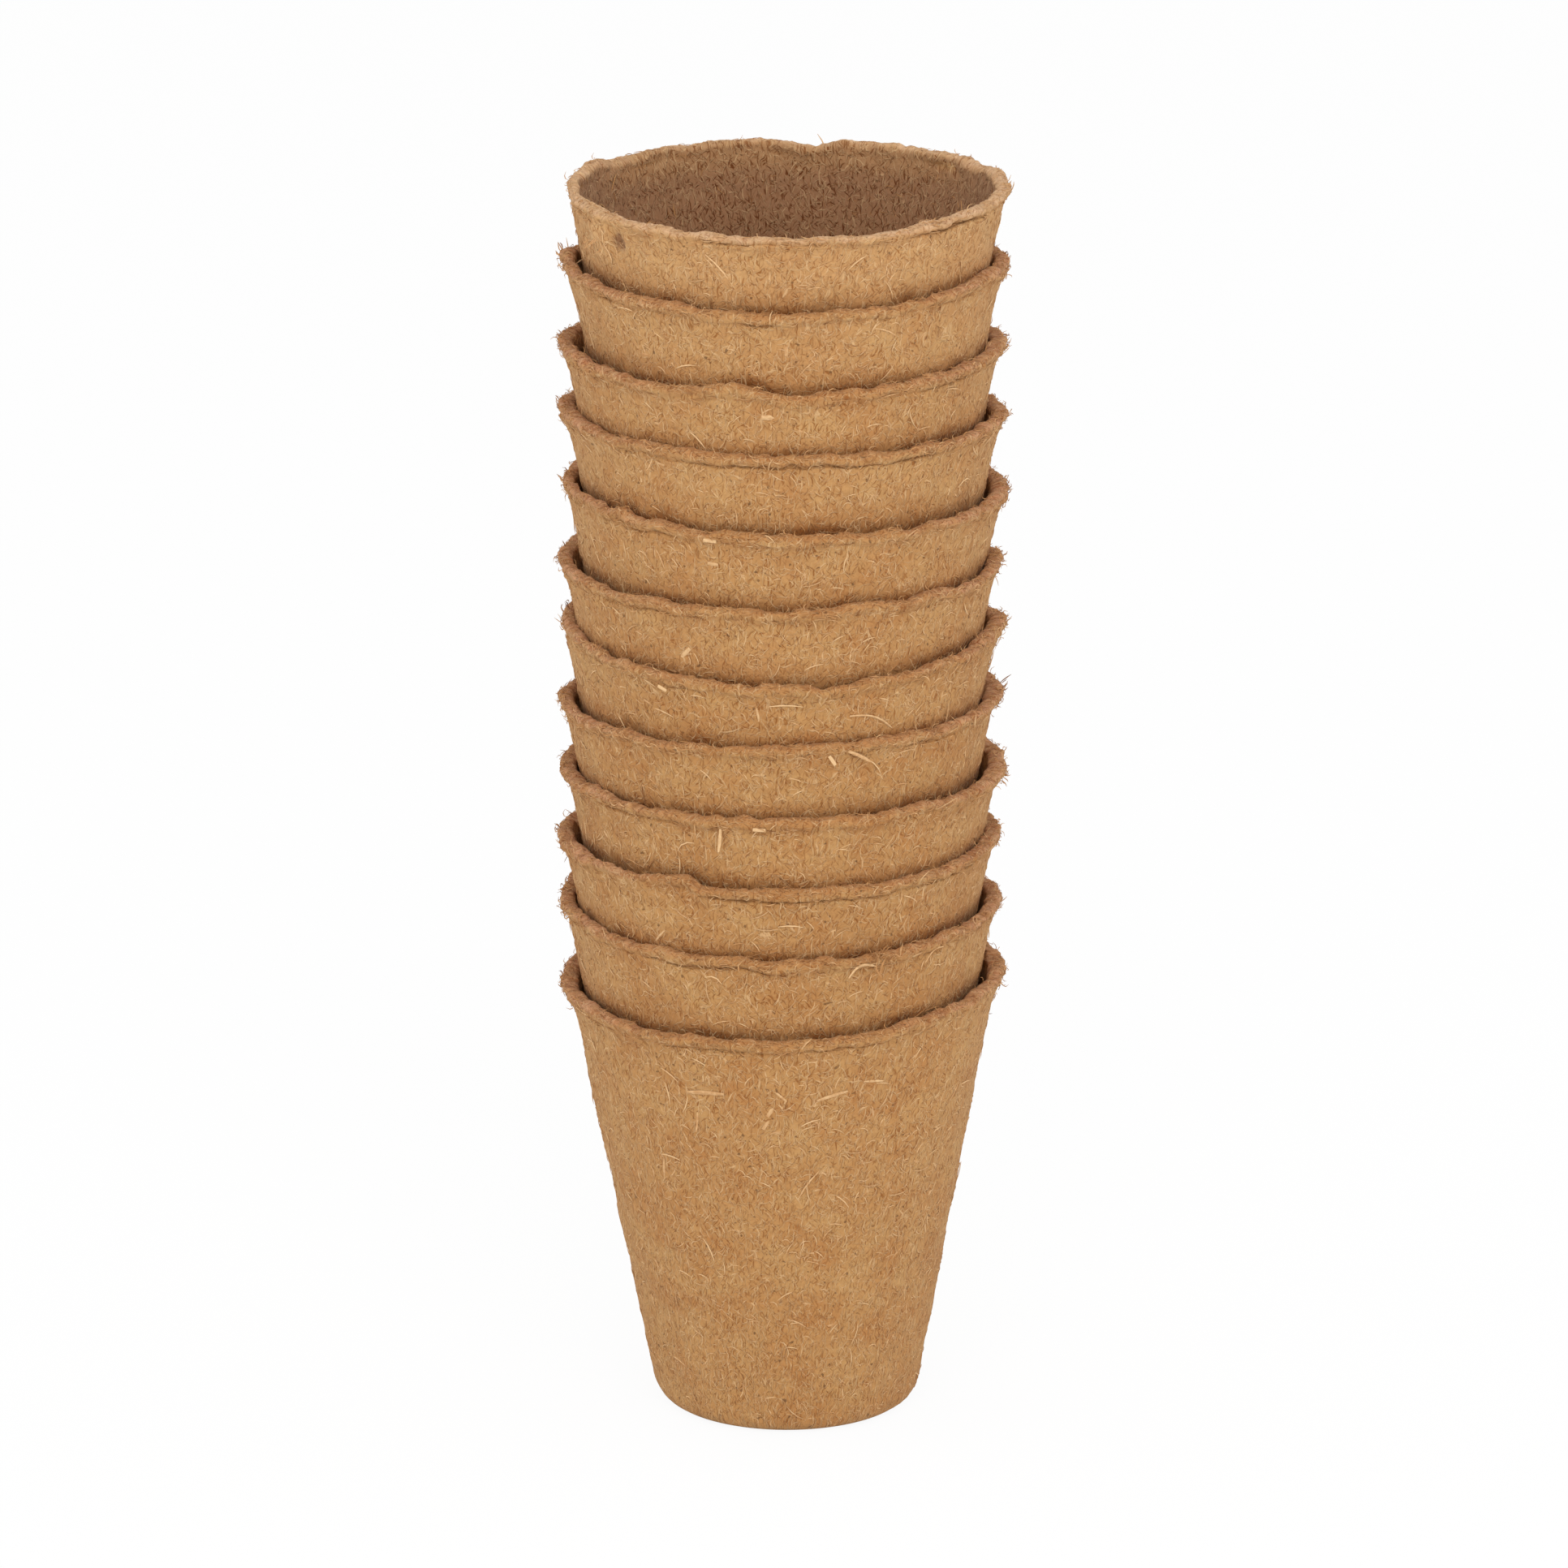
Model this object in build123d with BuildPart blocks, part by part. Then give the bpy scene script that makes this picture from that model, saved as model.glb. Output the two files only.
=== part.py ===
"""A stack of round pressed-fibre plant pots, nested in one another. Millimetres, +Z up.

Every pot is one moulding: a thin tapered cup with a flat floor, a drain hole, a rounded base edge and a flared lip.
The fibre is trimmed unevenly, so the edge of each lip has a wave of its own.
The bottom pot stands on z = 0 with its axis on Z, and each further pot stands inside the one below.
"""
import os
from math import atan, cos, sin

from build123d import *

# One pot
RIM_DIAMETER = 80.0
BASE_DIAMETER = 47.3
POT_HEIGHT = 82.0
WALL = 1.75
FLOOR = 2.2
BASE_EDGE_RADIUS = 4.5
FLOOR_CORNER = 2.0
DRAIN_DIAMETER = 5.0

# The lip flares out past the wall, ends in an upright band and is eased along both top edges
LIP_OVERHANG = 0.6
LIP_HEIGHT = 6.0
LIP_BAND_HEIGHT = 2.4
LIP_BEVEL = 0.7

# The trimmed edge of each lip, from the bottom pot up: its rise at the right, front, left and back
LIP_UNEVENNESS = 1.0
LIP_RISE_SHARES = (
    (1.6, -1.0, -0.6, 0.0),
    (0.4, -0.5, 0.4, -0.3),
    (0.3, -0.4, 0.3, -0.2),
    (0.0, 0.2, -0.1, -0.1),
    (0.3, 0.2, -0.7, 0.2),
    (0.9, -1.2, 1.1, -0.8),
    (0.1, 0.1, 0.0, -0.2),
    (-0.9, -0.1, 1.0, 0.0),
    (-0.6, 0.3, 0.3, 0.0),
    (0.5, -0.5, 0.3, -0.3),
    (0.8, -0.9, 0.6, -0.5),
    (0.1, 0.2, 0.1, -0.4),
)
TRIM_GRID_SHARES = (-1.2, -0.6, 0.0, 0.6, 1.2)
TRIM_OVERRUN = 4.0

# How each pot sits in the one below: the gap between the two walls, and the shift to the right and back in that gap
NEST_GAP = 0.8
NEST_LOOSENESS_SHARES = (1.28, 0.90, 0.83, 1.0, 0.85, 0.74, 1.14, 1.11, 0.71, 1.30, 1.0)
NEST_SHIFT_SHARES = (
    (-0.4, 0.2),
    (-0.5, -0.2),
    (0.5, 0.1),
    (-0.4, 0.3),
    (0.1, -0.5),
    (0.4, 0.3),
    (0.3, -0.4),
    (0.3, 0.4),
    (-0.5, 0.1),
    (0.5, -0.1),
    (-0.3, 0.4),
)

rim_radius = RIM_DIAMETER / 2
base_radius = BASE_DIAMETER / 2
flare = (rim_radius - LIP_OVERHANG - base_radius) / POT_HEIGHT
taper = atan(flare)
wall_across = WALL / cos(taper)
highest_rise_share = max(max(shares) for shares in LIP_RISE_SHARES)
untrimmed_height = POT_HEIGHT + highest_rise_share * LIP_UNEVENNESS + TRIM_OVERRUN


def outer_radius(height: float) -> float:
    """Radius of the wall's outer face at a height above the pot's base."""
    return base_radius + flare * height


def inner_radius(height: float) -> float:
    """Radius of the wall's inner face at a height above the pot's base."""
    return outer_radius(height) - wall_across


def nest_seats() -> list[Plane]:
    """The plane that each pot's base lies on, from the bottom pot up."""
    base = Vector(0, 0, 0)
    seats = [Plane(base)]
    for looseness_share, (right_share, back_share) in zip(NEST_LOOSENESS_SHARES, NEST_SHIFT_SHARES):
        gap = NEST_GAP * looseness_share
        base += Vector(right_share * gap, back_share * gap, (WALL + gap) / sin(taper))
        seats.append(Plane(base))
    return seats


def trim_height(shares: tuple[float, ...], across_share: float, back_share: float) -> float:
    """Height of the trimmed edge over a point, which is given in shares of the rim's radius."""
    right, front, left, back = shares
    mean = (right + front + left + back) / 4
    tilt = across_share * (right - left) / 2 + back_share * (back - front) / 2
    saddle = (across_share**2 - back_share**2) * (right + left - front - back) / 4
    return POT_HEIGHT + LIP_UNEVENNESS * (mean + tilt + saddle)


def trim_surface(seat: Plane, shares: tuple[float, ...]) -> Face:
    """The wavy surface that the lip of one pot is trimmed to."""
    rows = [
        [
            seat.from_local_coords((across * rim_radius, back * rim_radius, trim_height(shares, across, back)))
            for across in TRIM_GRID_SHARES
        ]
        for back in TRIM_GRID_SHARES
    ]
    return Face.make_surface_from_array_of_points(rows)


os.makedirs("parts", exist_ok=True)

for number, (seat, rise_shares) in enumerate(zip(nest_seats(), LIP_RISE_SHARES), start=1):
    with BuildPart() as pot:
        with BuildSketch(Plane(seat.origin, x_dir=seat.x_dir, z_dir=-seat.y_dir)) as section:
            with BuildLine():
                Polyline(
                    (0, 0),
                    (base_radius, 0),
                    (outer_radius(POT_HEIGHT - LIP_HEIGHT), POT_HEIGHT - LIP_HEIGHT),
                    (rim_radius, POT_HEIGHT - LIP_BAND_HEIGHT),
                    (rim_radius, untrimmed_height),
                    (inner_radius(untrimmed_height), untrimmed_height),
                    (inner_radius(FLOOR), FLOOR),
                    (0, FLOOR),
                    close=True,
                )
            make_face()
            base_edge = section.vertices().group_by(Axis.Y)[0].sort_by(Axis.X)[-1]
            fillet(base_edge, BASE_EDGE_RADIUS)
            floor_corner = section.vertices().sort_by_distance((inner_radius(FLOOR), FLOOR))[0]
            chamfer(floor_corner, FLOOR_CORNER)
        revolve(axis=Axis(seat.origin, seat.z_dir))
        extrude(trim_surface(seat, rise_shares), amount=untrimmed_height, dir=seat.z_dir, mode=Mode.SUBTRACT)
        lip_edges = pot.faces().filter_by(GeomType.BSPLINE).edges()
        chamfer(lip_edges, LIP_BEVEL)
        with Locations(seat):
            Hole(DRAIN_DIAMETER / 2)
    pot.part.label = f"pot_{number:02d}"
    export_step(pot.part, f"parts/pot_{number:02d}.step")
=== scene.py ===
"""A stack of twelve pressed-fibre plant pots, nested in one another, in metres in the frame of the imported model.

Each pot is a spun shell with a rolled, torn lip, dressed in a felt of fibres, and a coat of loose fibres that
rides with it: hairs along the lip, threads lying on the wall and flecks of straw.
"""
import logging
import math
from dataclasses import dataclass
from enum import Enum

import bmesh
import bpy
import numpy as np
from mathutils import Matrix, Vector, noise


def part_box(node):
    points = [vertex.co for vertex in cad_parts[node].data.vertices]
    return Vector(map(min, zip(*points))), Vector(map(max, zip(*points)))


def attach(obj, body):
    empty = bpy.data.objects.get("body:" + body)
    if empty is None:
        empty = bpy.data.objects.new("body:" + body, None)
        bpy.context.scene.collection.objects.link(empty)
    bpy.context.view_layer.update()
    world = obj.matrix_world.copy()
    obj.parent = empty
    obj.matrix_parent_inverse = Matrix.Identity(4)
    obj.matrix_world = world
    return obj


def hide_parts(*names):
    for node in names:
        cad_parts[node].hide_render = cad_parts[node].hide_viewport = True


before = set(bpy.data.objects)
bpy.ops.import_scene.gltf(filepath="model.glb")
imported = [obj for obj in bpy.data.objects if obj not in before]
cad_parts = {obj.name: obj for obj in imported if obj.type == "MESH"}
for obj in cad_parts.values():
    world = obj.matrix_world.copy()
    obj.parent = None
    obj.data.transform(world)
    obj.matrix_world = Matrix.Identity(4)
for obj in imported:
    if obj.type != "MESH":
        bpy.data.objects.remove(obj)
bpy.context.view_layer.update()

log = logging.getLogger("fibre_pots")

MM = 0.001
FULL_TURN = 2 * math.pi
RING = np.linspace(-180.0, 180.0, 721)
UP = np.array((0.0, 0.0, 1.0))

Colour = tuple[float, float, float, float]


class Place(Enum):
    """Where a pot sits in the stack, which decides how much of it is seen."""

    BOTTOM = "bottom"
    MIDDLE = "middle"
    TOP = "top"


class FibreKind(Enum):
    """The loose fibres of the pressed mix."""

    HAIR = "hair"
    CURL = "curl"
    ARC = "arc"
    STUB = "stub"
    STRAW = "straw"
    FLAKE = "flake"


class Side(Enum):
    """The face of a pot that fibres lie on."""

    OUTSIDE = "outside"
    WALL = "wall"
    INSIDE = "inside"
    CROWN = "crown"
    LIP = "lip"


def clear_selection() -> None:
    """Deselects every object."""
    bpy.ops.object.select_all(action="DESELECT")


def make_active(piece: bpy.types.Object) -> None:
    """Leaves one object selected and active."""
    clear_selection()
    piece.select_set(True)
    bpy.context.view_layer.objects.active = piece


def smooth_step(value: np.ndarray) -> np.ndarray:
    """Eases values from 0 at 0 to 1 at 1."""
    held = np.clip(value, 0.0, 1.0)
    return held * held * (3.0 - 2.0 * held)


def turn_from(centre: float, angles: np.ndarray) -> np.ndarray:
    """Turn from a centre to each angle, from -180 to 180 degrees."""
    return (angles - centre + 180.0) % 360.0 - 180.0


def points_of(mesh: bpy.types.Mesh) -> np.ndarray:
    """Reads a mesh's points.

    Args:
        mesh: The mesh.

    Returns:
        Coordinates, a row for each point.
    """
    points = np.empty(len(mesh.vertices) * 3)
    mesh.vertices.foreach_get("co", points)
    return points.reshape(-1, 3)


def corners_of(mesh: bpy.types.Mesh) -> np.ndarray:
    """Reads the faces of a mesh that has four-sided faces alone.

    Args:
        mesh: The mesh.

    Returns:
        Numbers of the points, a row for each face.
    """
    corners = np.empty(len(mesh.loops), dtype=np.int64)
    mesh.loops.foreach_get("vertex_index", corners)
    return corners.reshape(-1, 4)


def set_numbers(mesh: bpy.types.Mesh, name: str, values: np.ndarray) -> None:
    """Lets a mesh carry one number per point, for its finish to read."""
    layer = mesh.attributes.new(name, "FLOAT", "POINT")
    layer.data.foreach_set("value", values.astype(np.float32))


def ring_noise(angles: np.ndarray, lumps: float, seed: float) -> np.ndarray:
    """Smooth noise that closes on itself round a ring.

    Args:
        angles: Angles round the ring.
        lumps: Lumps in one radian, roughly.
        seed: Picks one ring out of many.

    Returns:
        Values from -1 to 1.
    """
    around = [noise.noise(Vector((math.cos(a) * lumps, math.sin(a) * lumps, seed))) for a in angles]
    return np.array(around)


@dataclass(frozen=True)
class Section:
    """The sizes of one pot's section, the same for all twelve."""

    height: float = 82.0 * MM
    base_radius: float = 23.65 * MM
    wall: float = 1.78 * MM
    floor: float = 2.2 * MM
    drain_radius: float = 2.5 * MM
    base_edge_radius: float = 3.7 * MM
    floor_corner: float = 2.2 * MM
    flare: float = 0.192
    lip_start: float = 75.0 * MM
    lip_inside: float = 4.4 * MM
    crease_depth: float = 0.95 * MM

    def cone(self, height: float | np.ndarray) -> float | np.ndarray:
        """Radius of the plain outer cone at a height over the base."""
        return self.base_radius + self.flare * height

    def outer_profile(self, fine_from: float, fine_step: float, coarse_step: float) -> list[tuple[float, float]]:
        """Stations from the drain hole round the base and up the outer wall.

        Args:
            fine_from: Height above which the wall has fine rows.
            fine_step: Height of a fine row.
            coarse_step: Height of a coarse row.

        Returns:
            Pairs of radius and height.
        """
        edge = self.base_edge_radius
        lean = math.atan(self.flare)
        flat = self.cone(0.0) - edge * math.tan((math.pi / 2 - lean) / 2)
        stations = [(self.drain_radius, 0.0), (self.drain_radius * 2, 0.0), (flat * 0.6, 0.0), (flat, 0.0)]
        for share in (0.33, 0.67, 1.0):
            turn = share * (math.pi / 2 - lean)
            stations.append((flat + edge * math.sin(turn), edge * (1.0 - math.cos(turn))))
        height = stations[-1][1] + min(coarse_step, fine_step) / 2
        while height < self.lip_start - fine_step / 2:
            stations.append((self.cone(height), height))
            height += fine_step if height >= fine_from else min(coarse_step, max(fine_from - height, fine_step))
        return stations

    def lip_profile(self) -> list[tuple[float, float]]:
        """Stations over the flared lip, from its root outside to its root inside.

        Returns:
            Pairs of radius and height.
        """
        top = self.height
        proud = (
            (0.02, -7.0), (0.04, -5.6), (0.10, -4.4), (0.17, -3.5), (0.24, -2.9), (0.29, -2.6), (0.34, -2.38),
            (0.42, -2.16), (0.56, -1.94), (0.78, -1.68), (0.95, -1.3), (0.99, -0.85), (0.84, -0.38), (0.42, -0.06),
            (-0.20, 0.08), (-0.95, 0.06), (-1.50, -0.15), (-1.80, -0.55), (-1.90, -1.05),
            (-1.87, -1.9), (-1.81, -3.0), (-1.78, -self.lip_inside / MM),
        )
        return [(self.cone(top + dz * MM) + out * MM, top + dz * MM) for out, dz in proud]

    def inner_profile(self, fine_to: float, fine_step: float, coarse_step: float) -> list[tuple[float, float]]:
        """Stations from under the lip down the inner wall and across the floor to the drain hole.

        Args:
            fine_to: Height down to which the wall has fine rows.
            fine_step: Height of a fine row.
            coarse_step: Height of a coarse row.

        Returns:
            Pairs of radius and height.
        """
        stations = []
        lowest = self.floor + self.floor_corner
        height = self.height - self.lip_inside - fine_step
        while height > lowest + fine_step / 2:
            stations.append((self.cone(height) - self.wall, height))
            height -= fine_step if height > fine_to else coarse_step
        corner = self.cone(self.floor) - self.wall
        stations.append((self.cone(lowest) - self.wall, lowest))
        stations.append((corner - self.floor_corner * 0.3, self.floor + self.floor_corner * 0.25))
        stations.append((corner - self.floor_corner, self.floor))
        stations.append((corner * 0.55, self.floor))
        stations.append((self.drain_radius * 2, self.floor))
        stations.append((self.drain_radius, self.floor))
        return stations


@dataclass(frozen=True)
class View:
    """How much of a pot is seen, as heights over its base: outside from one up, inside from the lip down to one."""

    fine_from: float
    fine_to: float
    row: float
    rough_from: float
    rough_to: float
    fibres_from: float
    raggedness: float = 1.0


@dataclass(frozen=True)
class LipMark:
    """A bump, dip or step in the edge of a lip, seen from the front.

    Angles are in degrees round the pot from the front, positive to the right.
    """

    angle: float
    rise: float
    left: float
    right: float

    def lift(self, angles: np.ndarray) -> np.ndarray:
        """Rise of the edge at each angle, in metres.

        Args:
            angles: Angles from the front, in degrees.

        Returns:
            The rise, eased to nothing on either side.
        """
        away = turn_from(self.angle, angles)
        reach = np.where(away < 0.0, self.left, self.right)
        return self.rise * MM * smooth_step(1.0 - np.abs(away) / reach)


@dataclass(frozen=True)
class WallMark:
    """A dent or a swelling in the outer wall, at an angle from the front and a height over the base."""

    angle: float
    height: float
    across: float
    tall: float
    depth: float
    cut: float = 0.0

    def push(self, angles: np.ndarray, heights: np.ndarray, radius: float) -> np.ndarray:
        """Outward move of the wall at each point, in metres.

        Args:
            angles: Angles from the front, in degrees.
            heights: Heights over the base.
            radius: Radius of the wall near the mark.

        Returns:
            The move, outward where positive.
        """
        away = np.radians(turn_from(self.angle, angles)) * radius
        spread = (away / (self.across * MM)) ** 2 + ((heights - self.height * MM) / (self.tall * MM)) ** 2
        pushed = self.depth * MM * np.exp(-spread)
        return pushed * smooth_step((self.cut * MM - away) / (0.5 * MM)) if self.cut else pushed


@dataclass(frozen=True)
class Hook:
    """A stretch of lip that is rolled further out, so that it hooks over the wall."""

    angle: float
    across: float
    drop: float
    out: float

    def push(self, angles: np.ndarray, near_top: np.ndarray) -> np.ndarray:
        """Outward move of the lip at each point, in metres.

        Args:
            angles: Angles from the front, in degrees.
            near_top: Heights from the plain top of the lip, negative below it.

        Returns:
            The move, that ends in a step at the underside of the roll.
        """
        away = turn_from(self.angle, angles)
        step = smooth_step((near_top + self.drop * MM) / (1.3 * MM) + 0.5)
        return self.out * MM * np.exp(-((away / self.across) ** 2)) * step


@dataclass(frozen=True)
class Crease:
    """A stretch of the fold that is pressed in under a lip, from one angle to another."""

    start: float
    end: float
    depth: float = 1.0
    drop: float = 1.95

    def press(self, angles: np.ndarray) -> np.ndarray:
        """Depth of the fold at each angle from the front, from 0 to 1."""
        inside = np.minimum(angles - self.start, self.end - angles)
        return self.depth * smooth_step(inside / 6.0 + 0.4)


class Nodes:
    """A small bench for wiring one material, or the world."""

    def __init__(self, owner: bpy.types.ID) -> None:
        """Clears the nodes of a material or a world, to wire it afresh.

        Args:
            owner: The material or the world.
        """
        self.owner = owner
        owner.use_nodes = True
        self.tree = owner.node_tree
        self.tree.nodes.clear()

    def add(self, kind: str, **settings: object) -> bpy.types.Node:
        """Adds a node and sets its properties.

        Args:
            kind: Type of the node.
            **settings: Its properties, by name.

        Returns:
            The node.
        """
        node = self.tree.nodes.new(kind)
        for name, value in settings.items():
            setattr(node, name, value)
        return node

    def link(self, source: bpy.types.NodeSocket, target: bpy.types.NodeSocket) -> None:
        """Joins two sockets."""
        self.tree.links.new(source, target)

    def feed(self, socket: bpy.types.NodeSocket, value: object) -> None:
        """Links a socket or sets its value.

        Args:
            socket: The socket that is fed.
            value: Another socket, or a plain value.
        """
        if isinstance(value, bpy.types.NodeSocket):
            self.link(value, socket)
        else:
            socket.default_value = value

    def work_out(self, kind: str, operation: str, values: tuple[object, ...]) -> bpy.types.Node:
        """Adds a node that works out one result.

        Args:
            kind: Type of the node.
            operation: What it does.
            values: What its sockets are fed, in order.

        Returns:
            The node.
        """
        node = self.add(kind, operation=operation)
        for socket, value in zip(node.inputs, values):
            self.feed(socket, value)
        return node

    def math(self, operation: str, *values: object) -> bpy.types.NodeSocket:
        """Sum, product or the like of numbers."""
        return self.work_out("ShaderNodeMath", operation, values).outputs[0]

    def vector(self, operation: str, *values: object) -> bpy.types.NodeSocket:
        """Sum, product or the like of vectors."""
        return self.work_out("ShaderNodeVectorMath", operation, values).outputs["Vector"]

    def place(self) -> bpy.types.NodeSocket:
        """Object coordinates."""
        return self.add("ShaderNodeTexCoord").outputs["Object"]

    def level(self, where: bpy.types.NodeSocket) -> bpy.types.NodeSocket:
        """Coordinates without the height."""
        return self.vector("MULTIPLY", where, (1.0, 1.0, 0.0))

    def around(self, where: bpy.types.NodeSocket, radius: float, rise: float) -> bpy.types.NodeSocket:
        """Coordinates that follow the wall round and hardly change across it or up it.

        Args:
            where: Coordinates.
            radius: Radius of the ring that the wall is drawn in to.
            rise: Share of the height that is kept.

        Returns:
            The new coordinates.
        """
        ring = self.vector("NORMALIZE", self.level(where))
        lift = self.vector("MULTIPLY", where, (0.0, 0.0, rise))
        return self.vector("MULTIPLY_ADD", ring, (radius,) * 3, lift)

    def unrolled(self, where: bpy.types.NodeSocket, radius: float, stretch: float) -> bpy.types.NodeSocket:
        """Coordinates of the pot rolled out flat: the way round it, then the way up the wall and across the crown.

        Args:
            where: Coordinates.
            radius: Radius at which the way round is true to size.
            stretch: Stretch of the way up and across.

        Returns:
            The new coordinates.
        """
        parts = self.add("ShaderNodeSeparateXYZ")
        self.link(where, parts.inputs["Vector"])
        turn = self.math("ARCTAN2", parts.outputs["X"], self.math("MULTIPLY", parts.outputs["Y"], -1.0))
        spoke = self.work_out("ShaderNodeVectorMath", "LENGTH", (self.level(where),))
        climb = self.math("SUBTRACT", parts.outputs["Z"], spoke.outputs["Value"])
        joined = self.add("ShaderNodeCombineXYZ")
        self.link(self.math("MULTIPLY", turn, radius), joined.inputs["X"])
        self.link(self.math("MULTIPLY", climb, stretch), joined.inputs["Y"])
        return joined.outputs["Vector"]

    def attribute(self, name: str) -> bpy.types.NodeSocket:
        """A number carried by the mesh."""
        return self.add("ShaderNodeAttribute", attribute_name=name).outputs["Fac"]

    def lumps(self, where: bpy.types.NodeSocket, size: float, detail: float, rough: float) -> bpy.types.Node:
        """Adds noise.

        Args:
            where: Coordinates.
            size: Size of a lump, in metres.
            detail: Number of finer layers.
            rough: Strength of the finer layers.

        Returns:
            The node.
        """
        node = self.add("ShaderNodeTexNoise", normalize=True)
        self.feed(node.inputs["Vector"], where)
        for name, number in (("Scale", 1.0 / size), ("Detail", detail), ("Roughness", rough)):
            node.inputs[name].default_value = number
        return node

    def noise(self, where: bpy.types.NodeSocket, size: float, detail: float = 2.0,
              rough: float = 0.5) -> bpy.types.NodeSocket:
        """Noise as a number."""
        return self.lumps(where, size, detail, rough).outputs["Fac"]

    def spread(self, value: object, low: float, high: float, to_low: float = 0.0,
               to_high: float = 1.0) -> bpy.types.NodeSocket:
        """Maps one range of numbers smoothly to another.

        Args:
            value: The number.
            low: Start of the range.
            high: End of the range.
            to_low: What the start becomes.
            to_high: What the end becomes.

        Returns:
            The new number.
        """
        node = self.add("ShaderNodeMapRange", interpolation_type="SMOOTHSTEP")
        self.feed(node.inputs["Value"], value)
        for name, number in (("From Min", low), ("From Max", high), ("To Min", to_low), ("To Max", to_high)):
            node.inputs[name].default_value = number
        return node.outputs["Result"]

    def blend(self, share: object, first: object, second: object, how: str = "MIX") -> bpy.types.NodeSocket:
        """Lays one colour over another.

        Args:
            share: Share of the second, from 0 to 1.
            first: The ground.
            second: The colour over it.
            how: How the two are put together.

        Returns:
            The new colour.
        """
        node = self.add("ShaderNodeMix", data_type="RGBA", blend_type=how)
        for name, value in (("Factor", share), ("A", first), ("B", second)):
            self.feed(node.inputs[name], value)
        return node.outputs["Result"]

    def shade(self, share: object, colour: object, dimmed: Colour) -> bpy.types.NodeSocket:
        """Multiplies a colour by another where a mask says so."""
        return self.blend(share, colour, dimmed, "MULTIPLY")

    def strokes(self, where: bpy.types.NodeSocket, turn: float, length: float, width: float,
                low: float, high: float) -> bpy.types.NodeSocket:
        """A layer of short fibres that run one way.

        Args:
            where: Coordinates of the wall rolled out flat.
            turn: Turn of the layer from level, in degrees.
            length: Length of a fibre.
            width: Width of a fibre.
            low: Noise level at which a fibre starts to show.
            high: Noise level at which it shows in full.

        Returns:
            A mask, 1 on the fibres.
        """
        mapping = self.add("ShaderNodeMapping", vector_type="TEXTURE")
        self.feed(mapping.inputs["Vector"], where)
        mapping.inputs["Rotation"].default_value = (0.0, 0.0, math.radians(turn))
        mapping.inputs["Scale"].default_value = (length, width, width)
        return self.spread(self.noise(mapping.outputs["Vector"], 1.0, 1.0), low, high)

    def most(self, masks: list[bpy.types.NodeSocket]) -> bpy.types.NodeSocket:
        """The highest of several masks.

        Args:
            masks: The masks.

        Returns:
            One mask.
        """
        top = masks[0]
        for mask in masks[1:]:
            top = self.math("MAXIMUM", top, mask)
        return top

    def dull(self, colour: bpy.types.NodeSocket, roughness: float, specular: float) -> bpy.types.Node:
        """Adds a rough surface.

        Args:
            colour: Its colour.
            roughness: How rough it is.
            specular: How much it shines.

        Returns:
            The shader node.
        """
        shader = self.add("ShaderNodeBsdfPrincipled")
        self.link(colour, shader.inputs["Base Color"])
        shader.inputs["Roughness"].default_value = roughness
        shader.inputs["Specular IOR Level"].default_value = specular
        return shader

    def finish(self, surface: bpy.types.NodeSocket, output: str = "ShaderNodeOutputMaterial") -> bpy.types.ID:
        """Sends a shader to the output and returns the material or the world."""
        self.link(surface, self.add(output).inputs["Surface"])
        return self.owner


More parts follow.
